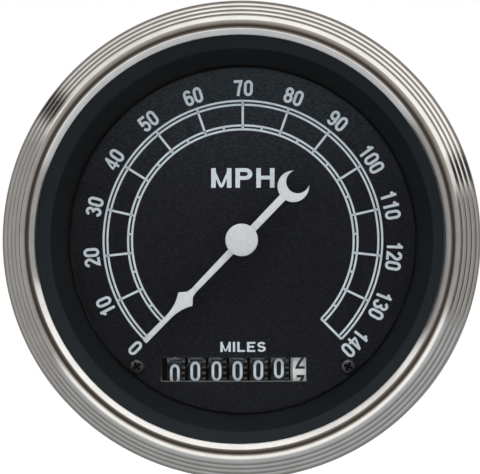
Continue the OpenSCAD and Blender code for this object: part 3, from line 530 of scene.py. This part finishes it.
def letter_lines(letter, ex, ey):
    """Centrelines of a letter in a box of 1 by 1, where ex and ey are half a stroke.

    Each is its points, whether it closes, and its share of the stroke's width where that isn't 1.
    """
    top = [(0.5, 0.73), (0.5, 0.27)]
    left, right = ([(x, -ey), (x, 1 + ey)] for x in (0, 1))
    six = [
        (loop(0.24, 0.34, (0.5, 0.24), 12), True), ([(0, 0.34), *arc(*top, 180, 22, 12)], False),
    ]
    half_turn = [([(1 - x, 1 - y) for x, y in line], closed) for line, closed in six]
    upper_bow = arc((0.5, 0.755), (0.47, 0.245), 18, 250, 14)
    lower_bow = arc((0.5, 0.26), (0.5, 0.26), 62, -162, 14)
    lines = {
        "0": [(loop(0.27, 0.73, (0.5, 0.27), 14), True)],
        "1": [
            ([(0.68, 1 + ey), (0.68, -ey)], False), ([(0.08, 0.78), (0.36, 0.8), (0.6, 0.93)], False),
        ],
        "2": [([*arc(*top, 176, -28, 14), (0.5, 0.34), (0.04, 0), (1 + ex, 0)], False)],
        "3 flat": [
            ([(0.04, 1), (1, 1), (0.42, 0.6), *arc((0.45, 0.3), (0.55, 0.3), 84, -166, 14)], False),
        ],
        "3": [
            (arc((0.49, 0.77), (0.47, 0.23), 172, -90, 14) + [(0.36, 0.54)], False),
            ([(0.36, 0.54), *arc((0.49, 0.27), (0.51, 0.27), 90, -172, 14)], False),
        ],
        "4": [
            ([(0.74, 1 + ey), (0.74, -ey)], False, 0.9), ([(0.7, 1.05), (-0.12, 0.24)], False, 0.75),
            ([(-ex, 0.22), (1 + ex, 0.22)], False, 0.8),
        ],
        "5": [
            ([(0.95 + ex, 1), (0.14, 1), (0.04, 0.44)], False),
            (arc((0.48, 0.3), (0.52, 0.3), 150, -168, 16), False),
        ],
        "6": six,
        "7": [([(-ex, 1), (1, 1), (0.62, 0.5), (0.4, -ey)], False)],
        "8": [
            (loop(0.74, 0.79, (0.45, 0.21), 12), True), (loop(0.24, 0.29, (0.5, 0.24), 12), True),
        ],
        "9": half_turn,
        "M": [
            (left, False), (right, False),
            ([(-0.05, 1 + ey), (0.5, -ey), (1.05, 1 + ey)], False, 0.62),
        ],
        "P": [
            (left, False),
            ([(0, 1), (0.62, 1), *arc((0.62, 0.75), (0.38, 0.25), 90, -90, 12), (0, 0.5)], False),
        ],
        "H": [(left, False), (right, False), ([(0, 0.52), (1, 0.52)], False)],
        "I": [([(0.5, -ey), (0.5, 1 + ey)], False)],
        "L": [([(0, 1 + ey), (0, 0), (1 + ex, 0)], False)],
        "E": [([(1 + ex, 1), (0, 1), (0, 0), (1 + ex, 0)], False), ([(0, 0.52), (1, 0.52)], False)],
        "S": [(upper_bow + lower_bow, False)],
    }
    return lines[letter]


def stroke(line, half, closed, level):
    """Quads of a band along a centreline, mitred, its level runs thinner by a share."""
    line = [Vector(point) for point in line]
    count = len(line)
    rows = []
    for i, point in enumerate(line):
        before = line[i - 1] if i or closed else None
        after = line[(i + 1) % count] if i < count - 1 or closed else None
        ways = [way.normalized() for way in (before and point - before, after and after - point) if way]
        sides = [Vector((-way.y, way.x)) for way in ways]
        side = sum(sides, Vector((0, 0))).normalized()
        side *= min(half / max(side.dot(sides[0]), 0.1), 2 * half)
        side.y *= level
        rows.append((point + side, point - side))
    pairs = list(zip(rows, rows[1:])) + ([(rows[-1], rows[0])] if closed else [])
    return [(near[0], near[1], far[1], far[0]) for near, far in pairs]


def split(line, longest, closed):
    """Centreline with its long runs cut into shorter ones."""
    line = [Vector(point) for point in line]
    ends = line[1:] + line[:1] if closed else line[1:]
    points = [] if closed else [line[0]]
    for start, end in zip(line, ends):
        cuts = math.ceil((end - start).length / longest)
        points += [start.lerp(end, (k + 1) / cuts) for k in range(cuts)]
    return points


def lettered(letter, width, height, thickness, ink, place, level=1.0):
    """One raised letter, its strokes made one and laid by a function from (x, y, proud) to a point."""
    box = Vector((width - thickness, height - thickness * level))
    half = (thickness / 2 / max(box.x, thickness), thickness * level / 2 / box.y)
    # Millimetres: the longest straight run of a stroke, and how near two corners count as one
    longest, nearness = 0.4, 0.0005
    quads = []
    for line, closed, *weight in letter_lines(letter, *half):
        laid = [((x - 0.5) * box.x / MM, (y - 0.5) * box.y / MM) for x, y in line]
        points = split(laid, longest, closed)
        quads += stroke(points, thickness / 2 / MM * (weight or [1])[0], closed, level)
    edge = Vector((width, height)) / 2 / MM
    corners = [
        Vector((max(-edge.x, min(edge.x, corner.x)), max(-edge.y, min(edge.y, corner.y))))
        for quad in quads for corner in quad
    ]
    rings = [list(range(4 * k, 4 * k + 4)) for k in range(len(quads))]
    inside = 1
    points, _, faces, _, _, sources = delaunay_2d_cdt(corners, [], rings, inside, nearness)
    bm = bmesh.new()
    verts = [bm.verts.new((point.x * MM, point.y * MM, 0)) for point in points]
    for face, source in zip(faces, sources):
        if source:
            bm.faces.new([verts[k] for k in face])
    raised = bmesh.ops.extrude_face_region(bm, geom=bm.faces[:])["geom"]
    upper = [v for v in raised if isinstance(v, bmesh.types.BMVert)]
    bmesh.ops.translate(bm, vec=(0, 0, ink), verts=upper)
    for v in bm.verts:
        v.co = place(*v.co)
    bmesh.ops.recalc_face_normals(bm, faces=bm.faces)
    return bm


def joined(parts):
    """One bmesh from several."""
    whole = bmesh.new()
    for part in parts:
        mesh = bpy.data.meshes.new("part")
        part.to_mesh(mesh)
        part.free()
        whole.from_mesh(mesh)
        bpy.data.meshes.remove(mesh)
    return whole


def on_dial(x, y, turn=0.0):
    """Place of a letter on the dial: its middle at x, y, turned anticlockwise."""
    spin = Matrix.Rotation(turn, 2)

    def place(u, v, proud):
        at = spin @ Vector((u, v)) + Vector((x, y))
        return Vector((at.x, DIAL_FACE + SUNK - proud, at.y))

    return place


def on_drum(drum, low, high, turn):
    """Place of a figure round a drum's rim, turned down from the front by an angle."""
    centre = (low + high) / 2
    radius = (high.z - low.z) / 2

    def place(u, v, proud):
        out = radius - SUNK + proud
        at = turn + v / radius
        return Vector((drum + u, centre.y - out * math.cos(at), centre.z + out * math.sin(at)))

    return place


class SPEEDOMETER_OT_solids(Operator):
    """Finish the solids that keep their shape"""

    bl_idname = "speedometer.solids"
    bl_label = "Solids"

    def execute(self, context):
        dress(
            zinc_plating(), "dial_pillars", "movement_plate", "frame_screws", "case_screws",
            "movement_can", "pointer_spindle", "odometer_axles", "mounting_studs", "stud_nuts",
            "clamp_bracket", "clamp_washers",
        )
        dress(
            turned_brass(), "board_standoffs", "spindle_bushes", "connection_pins",
            "transfer_spacers", "motor_pinion", "terminal_studs", "terminal_nuts",
            "clamp_nut_left", "clamp_nut_right",
        )
        dress(
            moulding("black_moulding", (0.018, 0.018, 0.019), 0.45), "board_components",
            "movement_cover", "odometer_motor", "lamp_sockets", "terminal_block", "button_housing",
        )
        dress(
            moulding("natural_nylon", (0.72, 0.72, 0.68), 0.4), "former_front", "former_rear",
            "idler_gear", *[f"transfer_pinion_{k}" for k in range(1, 7)],
        )
        dress(
            moulding("plate_black", (0.004, 0.004, 0.005), 0.5, 0.12),
            "left_side_plate", "right_side_plate",
        )
        dress(moulding("rubber", (0.02, 0.02, 0.02), 0.7), "lens_gasket", "button_plunger")
        dress(moulding("magnet_ferrite", (0.05, 0.05, 0.055), 0.6), "rotor_magnet")
        dress(moulding("copper_wire", (0.42, 0.14, 0.05), 0.35), "inner_coil", "outer_coil")
        dress(moulding("board_mask", (0.01, 0.09, 0.035), 0.35), "circuit_board")
        dress(screw_black(), "dial_screws")
        dress(clear_glass(), "glass_lens")
        dress(moulding("bulb_glass", (0.75, 0.78, 0.78), 0.1), "lamp_bulbs")
        return {"FINISHED"}


class SPEEDOMETER_OT_bezel(Operator):
    """Turn the plated bezel and the black ring inside it"""

    bl_idname = "speedometer.bezel"
    bl_label = "Bezel and trim ring"

    def execute(self, context):
        settings = context.scene.bezel
        piece(
            "bezel_plated", turned(self.bezel(settings)), bezel_plating(settings), "gauge",
            ["bezel"], crease=28,
        )
        piece(
            "trim_ring_painted", turned(self.trim_ring()), ring_paint(settings), "gauge",
            ["trim_ring"], crease=12,
        )
        return {"FINISHED"}

    def bezel(self, settings):
        """Profile of the curled lip, the crest, the reeds and the flange rolled behind the case."""
        outer = BEZEL_HIGH.x
        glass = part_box("glass_lens")[0].y
        crest = Vector((settings.crest, BEZEL_LOW.y))
        inner = crest + Vector((0, settings.inner_radius))
        outside = crest + Vector((0, settings.outer_radius))
        round_off = 0.4 * MM
        lip_turn = 270 - math.degrees(settings.lip_tilt)
        crest_turn = 270 - math.degrees(settings.crest_tilt)
        flank_turn = 270 + math.degrees(settings.flank_tilt)
        start = arc(inner, [settings.inner_radius - round_off] * 2, crest_turn, crest_turn, 1)[0]
        rounding = arc(start, [round_off] * 2, lip_turn, crest_turn, 6)
        curl, curl_turn = 3 * MM, 11
        curled = arc((0, 0), (curl, curl), lip_turn - curl_turn, lip_turn, 6)
        run = rounding[0].x - settings.lip - (curled[-1].x - curled[0].x)
        foot_of_lip = rounding[0] + Vector((-run, run * math.tan(settings.lip_tilt)))
        lip = [foot_of_lip + point - curled[-1] for point in curled]
        shoulder = Vector((43.5 * MM, BEZEL_LOW.y + 0.66 * MM))
        rim = Vector((outer - 0.15 * MM, -1.7 * MM))
        step = (rim - shoulder) / settings.reeds
        profile = [(settings.lip, glass), *lip, *rounding[:-1]]
        profile += arc(inner, [settings.inner_radius] * 2, crest_turn, 270, 8)[:-1]
        profile += arc(outside, [settings.outer_radius] * 2, 270, flank_turn, 14)
        for k in range(settings.reeds):
            profile += bulged(shoulder + k * step, shoulder + (k + 1) * step, -settings.bulge, 12)
        edge, wall, flange = 0.4 * MM, 0.9 * MM, 0.8 * MM
        flange_bore = 42.6 * MM
        pocket = -1.9 * MM
        profile += [
            rim, (outer, -1.3 * MM), (outer, -edge), (outer - edge, 0),
            (flange_bore, 0), (flange_bore, -flange), (outer - wall, -flange),
            (outer - wall, pocket), (shoulder.x, glass),
        ]
        return profile

    def trim_ring(self):
        """Profile of the black ring: a rim, an outer cone, an inner cone and a rounded foot."""
        rim, front = RING_HIGH.x, RING_LOW.y
        sheet = 0.5 * MM
        mouth = 40.2 * MM
        knee = Vector((37.8 * MM, 1 * MM))
        foot, foot_round = 34.1 * MM, 0.8 * MM
        foot_start = 3.6 * MM
        seat = DIAL_FACE - 0.01 * MM
        return [
            (rim, front), (mouth, front), knee,
            *arc((foot + foot_round, foot_start), (foot_round, foot_round), 240, 180, 8),
            (foot, seat), (foot + 0.75 * MM, seat), knee + Vector((0.55 * MM, 0.25 * MM)),
            (mouth + 0.45 * MM, front + sheet), (rim, front + sheet),
        ]


class SPEEDOMETER_OT_dial(Operator):
    """Paint the dial and print its scale, figures and words"""

    bl_idname = "speedometer.dial"
    bl_label = "Dial"

    def execute(self, context):
        settings = context.scene.dial
        ink = paint("dial_ink", settings.ink, 0.5)
        dress(dial_paint(settings), "dial_plate")
        piece("scale_print", self.scale(settings), ink, "gauge")
        piece("speed_figures", self.figures(settings), ink, "gauge")
        piece("window_edge", self.window(), cut_edge(), "gauge")
        words = self.word("MPH", 0.02 * MM, 12.33 * MM, height=3.87 * MM, thickness=0.9 * MM)
        words += self.word("MILES", 0.07 * MM, -21.07 * MM, height=1.97 * MM, thickness=0.45 * MM)
        piece("unit_words", joined(words), ink, "gauge")
        return {"FINISHED"}

    def window(self):
        """Sheared edge round the odometer's window, broken with a file in front."""
        middle = Vector((-1.77 * MM, 0, -25.48 * MM))
        half = Vector((14.4 * MM, 0, 2.42 * MM))
        corner = 1 * MM
        burr = 0.13 * MM
        sunk = 0.03 * MM
        rear = DIAL_HIGH.y - 0.02 * MM
        profile = [
            (corner + sunk, DIAL_FACE - 0.01 * MM), (corner - burr / 2, DIAL_FACE + sunk),
            (corner - burr, DIAL_FACE + burr), (corner - burr, rear), (corner + sunk, rear),
        ]
        bm = turned([(math.sqrt(2) * radius, depth) for radius, depth in profile], steps=4)
        bmesh.ops.rotate(bm, matrix=Matrix.Rotation(math.pi / 4, 3, "Y"), verts=bm.verts)
        for v in bm.verts:
            v.co.x += middle.x + math.copysign(half.x - corner, v.co.x)
            v.co.z += middle.z + math.copysign(half.z - corner, v.co.z)
        return bm

    def scale(self, settings):
        """Lines and ticks over those that stand on the plate."""
        bm = bmesh.new()
        cover = 0.02 * MM
        line = 0.38 * MM + cover
        tick = 0.42 * MM + cover
        front = DIAL_LOW.y - cover
        back = DIAL_LOW.y + 0.1 * MM
        outer = settings.line_radius
        inner = outer - settings.scale_height
        pair = 0.77 * MM
        end = settings.zero_angle - settings.sweep
        for radius in (outer, outer - pair, inner + pair, inner):
            corners = [(radius + a, b) for a, b in (
                (-line / 2, front), (line / 2, front), (line / 2, back), (-line / 2, back),
            )]
            verts = [
                bm.verts.new((r * math.cos(end), depth, r * math.sin(end))) for r, depth in corners
            ]
            face = bm.faces.new(verts)
            bmesh.ops.spin(
                bm, geom=[face, *face.edges, *verts], cent=(0, 0, 0), axis=(0, -1, 0),
                dvec=(0, 0, 0), angle=settings.sweep, steps=STEPS, use_duplicate=False,
            )
        tens = settings.top_speed // 10
        for k in range(2 * tens + 1):
            far = outer if k % 2 == 0 else inner + pair
            middle = (inner + far) / 2
            turn = settings.zero_angle - k * settings.sweep / tens / 2
            made = bmesh.ops.create_cube(bm, size=1)["verts"]
            bmesh.ops.scale(bm, vec=(far - inner, back - front, tick), verts=made)
            bmesh.ops.translate(bm, vec=(middle, (front + back) / 2, 0), verts=made)
            bmesh.ops.rotate(bm, matrix=Matrix.Rotation(-turn, 3, "Y"), verts=made)
        bmesh.ops.recalc_face_normals(bm, faces=bm.faces)
        return bm

    def figures(self, settings):
        """Speeds, each figure turned to stand on the scale."""
        parts = []
        for speed in range(0, settings.top_speed + 1, 10):
            figures = str(speed)
            middle = settings.zero_angle - speed / settings.top_speed * settings.sweep
            middle += math.radians(self.off_tick(speed, settings.top_speed))
            for k, figure in enumerate(figures):
                at = middle - (k - (len(figures) - 1) / 2) * settings.figure_step
                place = on_dial(
                    settings.figure_radius * math.cos(at), settings.figure_radius * math.sin(at),
                    at - math.pi / 2,
                )
                parts.append(lettered(
                    figure, settings.figure_width, settings.figure_height, settings.figure_stroke,
                    DIAL_INK, place,
                ))
        return joined(parts)

    def off_tick(self, speed, top_speed):
        """Degrees by which a printed speed stands before its tick."""
        if speed == top_speed:
            return 2.6
        if speed > 100:
            return 0.5
        return -0.25 if 50 <= speed <= 80 else 0

    def word(self, letters, x, y, height, thickness):
        """Letters in a row about a place, spaced by their own widths."""
        widths = {"M": 1.04, "P": 0.87, "H": 0.93, "I": 0.25, "L": 0.78, "E": 0.82, "S": 0.86}
        gap = 0.2 * height
        thinner = 0.82
        total = sum(widths[c] * height + gap for c in letters) - gap
        left = x - total / 2
        parts = []
        for c in letters:
            width = widths[c] * height
            place = on_dial(left + width / 2, y)
            parts.append(lettered(c, width, height, thickness, DIAL_INK, place, thinner))
            left += width + gap
        return parts


class SPEEDOMETER_OT_pointer(Operator):
    """Paint the pointer and its cap"""

    bl_idname = "speedometer.pointer"
    bl_label = "Pointer"

    def execute(self, context):
        settings = context.scene.dial
        dress(paint("pointer_paint", settings.pointer_paint, 0.38), "pointer")
        enamel = paint("cap_paint", settings.cap_paint, 0.38)
        low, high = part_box("pointer_cap")
        radius = high.x
        profile = [
            (0, low.y), (radius - 0.14 * MM, low.y), (radius - 0.04 * MM, low.y + 0.04 * MM),
            (radius, low.y + 0.16 * MM), (radius, high.y), (0, high.y),
        ]
        piece(
            "pointer_cap_turned", turned(profile, steps=96), enamel, "pointer_rotor",
            ["pointer_cap"],
        )
        return {"FINISHED"}


class SPEEDOMETER_OT_odometer(Operator):
    """Finish the drums and put figures round them"""

    bl_idname = "speedometer.odometer"
    bl_label = "Odometer"

    def execute(self, context):
        settings = context.scene.odometer
        dress(drum_black(settings), *DRUM_NODES[:-1])
        dress(paint("drum_white", settings.white, 0.45), DRUM_NODES[-1])
        # The drums behind the window reflect the tent and not the back of the dial
        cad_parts["dial_plate"].visible_glossy = False
        white_ink = paint("drum_figures_white", settings.white_ink, 0.5)
        black_ink = paint("drum_figures_black", settings.black, 0.5)
        first_rim, pitch = -13.47 * MM, 4.115 * MM
        # Play of each drum's print to the side, and the turn at which its first figure stands
        drift = (-0.1, -0.16, -0.06, 0, 0, -0.05, 0)
        turns = (-7, -3.2, -2.8, -2.4, -1.3, 1.2, 14.3 + 2 * 36)
        for k, (drum, body) in enumerate(zip(DRUM_NODES, DRUM_BODIES)):
            low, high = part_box(drum)
            rim = first_rim + pitch * k + drift[k] * MM
            tenths = drum == DRUM_NODES[-1]
            parts = []
            for figure in range(10):
                turn = math.radians(turns[k]) - figure * math.tau / 10
                parts.append(lettered(
                    "3 flat" if figure == 3 else str(figure), settings.figure_width,
                    settings.figure_height, settings.figure_stroke, DRUM_INK,
                    on_drum(rim, low, high, turn),
                ))
            ink = black_ink if tenths else white_ink
            piece(f"{drum}_figures", joined(parts), ink, body)
        return {"FINISHED"}


class SPEEDOMETER_OT_case(Operator):
    """Draw the steel case"""

    bl_idname = "speedometer.case"
    bl_label = "Case"

    def execute(self, context):
        wall = 0.8 * MM
        outer = 42.3 * MM
        inner = outer - wall
        front, rear = CASE_LOW.y, CASE_HIGH.y
        corner = 2.5 * MM
        small = corner - wall
        profile = [
            (inner, front), (CASE_HIGH.x, front), (CASE_HIGH.x, front + wall), (outer, front + wall),
            *arc((outer - corner, rear - corner), (corner, corner), 0, 90, 12),
            (0, rear), (0, rear - wall),
            *arc((inner - small, rear - wall - small), (small, small), 90, 0, 10),
        ]
        piece("case_drawn", turned(profile), case_plating(), "gauge", ["case_cup"])
        return {"FINISHED"}


# Shades of the tent's cloth by degrees off its front, each as (degrees, colour)
SIDE_SHADES = (
    (0, (0.035, 0.033, 0.033)), (8, (0.045, 0.04, 0.035)), (15, (0.1, 0.08, 0.07)),
    (28, (0.33, 0.31, 0.3)), (77, (0.36, 0.37, 0.38)), (80, (0.025, 0.02, 0.02)),
    (91, (0.025, 0.02, 0.02)), (94, (0.36, 0.36, 0.36)), (112, (0.33, 0.32, 0.31)),
    (125, (0.2, 0.19, 0.18)),
)
OVER_SHADES = (
    (0, (0.035, 0.033, 0.033)), (8, (0.045, 0.04, 0.035)), (15, (0.1, 0.085, 0.07)),
    (45, (0.36, 0.33, 0.3)), (60, (0.38, 0.36, 0.34)), (66, (1.06, 1.06, 1.06)),
    (101, (1.06, 1.06, 1.04)), (106, (0.3, 0.27, 0.25)), (120, (0.3, 0.27, 0.25)),
    (124, (0.12, 0.1, 0.09)), (150, (0.4, 0.4, 0.4)),
)
UNDER_SHADES = (
    (0, (0.035, 0.033, 0.033)), (8, (0.06, 0.05, 0.045)), (17, (0.25, 0.22, 0.2)),
    (27, (0.5, 0.46, 0.43)), (31, (1.0, 0.98, 0.96)), (62, (1.06, 1.06, 1.06)),
    (68, (0.52, 0.55, 0.58)), (84, (0.5, 0.52, 0.55)), (100, (0.34, 0.34, 0.34)),
    (120, (0.17, 0.17, 0.17)), (140, (0.34, 0.34, 0.34)),
)
GAP_SHADES = (
    (0, (0.035, 0.033, 0.033)), (15, (0.1, 0.085, 0.07)), (45, (0.36, 0.33, 0.3)),
    (60, (0.38, 0.36, 0.34)), (66, (0.9, 0.9, 0.9)), (93, (0.9, 0.9, 0.9)),
    (97, (0.02, 0.015, 0.012)), (128, (0.02, 0.015, 0.012)), (134, (0.3, 0.3, 0.3)),
)
# Shades that are seen through the glass, where the tent is lit for the odometer's window
WINDOW_SHADES = (
    (0, (0.03, 0.03, 0.033)), (17, (0.035, 0.035, 0.038)), (21, (0.9, 1.0, 1.1)),
    (27, (1.25, 1.35, 1.45)), (36, (1.1, 1.2, 1.3)), (42, (0.35, 0.36, 0.38)),
    (101, (0.35, 0.36, 0.38)), (110, (0.2, 0.2, 0.2)),
)
# Weight of the upper, gaping and lower parts by the bearing, from 0 under the gauge round to 1
OVER_PART = ((0.32, 0), (0.333, 0.6), (0.42, 0.75), (0.46, 1), (0.7, 1), (0.715, 0))
GAP_PART = (
    (0.332, 0), (0.338, 1), (0.353, 1), (0.36, 0), (0.68, 0), (0.686, 1), (0.703, 1), (0.709, 0),
)
UNDER_PART = ((0.155, 1), (0.17, 0), (0.8, 0), (0.815, 1))


class SPEEDOMETER_OT_stage(Operator):
    """Set up the floor, the lights and the camera"""

    bl_idname = "speedometer.stage"
    bl_label = "Stage"

    def execute(self, context):
        settings = context.scene.stage
        context.scene.view_settings.view_transform = "Standard"
        self.floor()
        self.world(settings)
        self.tent(settings)
        self.lamp("over", (0.1, -0.35, 0.9), (1.1, 0.8), 7.5)
        self.lamp("left", (-0.9, -0.5, 0.25), (0.5, 1.0), 3.8)
        self.lamp("right", (0.9, -0.4, 0.2), (0.5, 1.0), 3.1)
        self.camera(settings)
        return {"FINISHED"}

    def camera(self, settings):
        """Long lens on the dial, aimed a little to the left of its middle and above it."""
        made = bpy.data.objects.new("camera", bpy.data.cameras.new("camera"))
        bpy.context.scene.collection.objects.link(made)
        bpy.context.scene.camera = made
        aim = Vector((-0.285 * MM, 0, 0.555 * MM))
        back = Vector((
            math.sin(settings.azimuth) * math.cos(settings.elevation),
            -math.cos(settings.azimuth) * math.cos(settings.elevation),
            math.sin(settings.elevation),
        ))
        made.location = back * settings.distance + aim
        made.rotation_euler = (-back).to_track_quat("-Z", "Y").to_euler()
        made.data.lens = settings.lens
        made.data.sensor_width = 36
        made.data.clip_start = 0.01

    def floor(self):
        """Pale floor just under the bezel, white to the camera, that keeps the shadow."""
        bm = bmesh.new()
        bmesh.ops.create_grid(bm, x_segments=1, y_segments=1, size=4)
        bmesh.ops.translate(bm, vec=(0, 0, cad_box[0].z - 0.3 * MM), verts=bm.verts)
        pale = finish("floor_pale", (0.85, 0.85, 0.85), 0, 0.7)
        tree = pale.node_tree
        seen = node(tree, "ShaderNodeLightPath").outputs["Is Camera Ray"]
        glow = 0.6
        shader(pale).inputs["Emission Color"].default_value = (1, 1, 1, 1)
        feed(tree, shader(pale).inputs["Emission Strength"], reckon(tree, "MULTIPLY", seen, glow))
        made = placed("floor", bm, pale)
        made.visible_glossy = False
        made.visible_transmission = False

    def world(self, settings):
        """White behind the gauge and in its reflections, and a plain level of light all round."""
        world = bpy.data.worlds.new("studio")
        bpy.context.scene.world = world
        world.use_nodes = True
        tree = world.node_tree
        soft = tree.nodes["Background"]
        soft.inputs["Color"].default_value = (1, 1, 1, 1)
        soft.inputs["Strength"].default_value = settings.ambient
        white = node(tree, "ShaderNodeBackground", Color=(1, 1, 1, 1), Strength=1)
        path = node(tree, "ShaderNodeLightPath").outputs
        mirrored = reckon(tree, "MAXIMUM", path["Is Glossy Ray"], path["Is Transmission Ray"])
        seen = reckon(tree, "MAXIMUM", path["Is Camera Ray"], mirrored)
        surface(tree, "World Output", seen, soft, white)

    def tent(self, settings):
        """Round tent of grey cloth that only reflections see, lit over, under and dark in front."""
        bm = bmesh.new()
        bmesh.ops.create_icosphere(bm, subdivisions=5, radius=settings.tent_radius)
        bmesh.ops.reverse_faces(bm, faces=bm.faces)
        made = placed("tent", bm, self.tent_cloth())
        made.visible_camera = False
        made.visible_diffuse = False
        made.visible_shadow = False

    def tent_cloth(self):
        """Glowing cloth, its shade set by the angle off the tent's front and by the bearing."""
        cloth = finish("tent_cloth", (0, 0, 0), 0, 1, 0)
        tree = cloth.node_tree
        toward = reckon(tree, "NORMALIZE", on_piece(tree), vector=True)
        split = node(tree, "ShaderNodeSeparateXYZ", Vector=toward).outputs
        off_rear = reckon(tree, "DIVIDE", reckon(tree, "ARCCOSINE", split["Y"]), math.pi)
        off_front = reckon(tree, "SUBTRACT", 1, off_rear)
        bearing = reckon(tree, "ARCTAN2", split["X"], split["Z"])
        part = reckon(tree, "MULTIPLY_ADD", bearing, 1 / math.tau, 0.5)
        side, over, under, gap, window = (
            ramp(tree, off_front, [(degrees / 180, colour) for degrees, colour in shades])
            for shades in (SIDE_SHADES, OVER_SHADES, UNDER_SHADES, GAP_SHADES, WINDOW_SHADES)
        )
        is_over, is_under, is_gap = (
            ramp(tree, part, [(place, (weight,) * 3) for place, weight in weights])
            for weights in (OVER_PART, UNDER_PART, GAP_PART)
        )
        shade = blend(tree, is_over, side, over)
        shade = blend(tree, is_under, shade, under)
        shade = blend(tree, is_gap, shade, gap)
        behind_glass = blend(tree, is_over, side, window)
        path = node(tree, "ShaderNodeLightPath").outputs
        seen = blend(tree, path["Is Transmission Ray"], shade, behind_glass)
        feed(tree, shader(cloth).inputs["Emission Color"], seen)
        shader(cloth).inputs["Emission Strength"].default_value = 1
        return cloth

    def lamp(self, name, place, size, power):
        """Soft area lamp aimed at the gauge."""
        light = bpy.data.lights.new(name, "AREA")
        light.shape = "RECTANGLE"
        light.size, light.size_y = size
        light.energy = power
        made = bpy.data.objects.new(name, light)
        bpy.context.scene.collection.objects.link(made)
        made.location = place
        made.rotation_euler = (-Vector(place)).to_track_quat("-Z", "Y").to_euler()
        made.visible_glossy = False


class SPEEDOMETER_PT_panel(Panel):
    """Sidebar panel with the settings and the steps"""

    bl_label = "Panel Speedometer"
    bl_idname = "SPEEDOMETER_PT_panel"
    bl_space_type = "VIEW_3D"
    bl_region_type = "UI"
    bl_category = "Speedometer"

    def draw(self, context):
        for name in SETTINGS:
            group = getattr(context.scene, name)
            box = self.layout.box()
            box.label(text=name.capitalize())
            for field in group.bl_rna.properties:
                if field.identifier not in {"name", "rna_type"}:
                    box.prop(group, field.identifier)
        for step in STEPS_IN_ORDER:
            self.layout.operator(step.bl_idname)


SETTINGS = {
    "bezel": BezelSettings,
    "dial": DialSettings,
    "odometer": OdometerSettings,
    "stage": StageSettings,
}
STEPS_IN_ORDER = (
    SPEEDOMETER_OT_solids,
    SPEEDOMETER_OT_bezel,
    SPEEDOMETER_OT_dial,
    SPEEDOMETER_OT_pointer,
    SPEEDOMETER_OT_odometer,
    SPEEDOMETER_OT_case,
    SPEEDOMETER_OT_stage,
)


def register():
    for kind in (*SETTINGS.values(), *STEPS_IN_ORDER, SPEEDOMETER_PT_panel):
        bpy.utils.register_class(kind)
    for name, group in SETTINGS.items():
        setattr(bpy.types.Scene, name, PointerProperty(type=group))


def unregister():
    for name in SETTINGS:
        delattr(bpy.types.Scene, name)
    for kind in reversed((*SETTINGS.values(), *STEPS_IN_ORDER, SPEEDOMETER_PT_panel)):
        bpy.utils.unregister_class(kind)


def main():
    """Runs every step in order."""
    register()
    for step in STEPS_IN_ORDER:
        family, name = step.bl_idname.split(".")
        getattr(getattr(bpy.ops, family), name)()


if __name__ == "__main__":
    main()
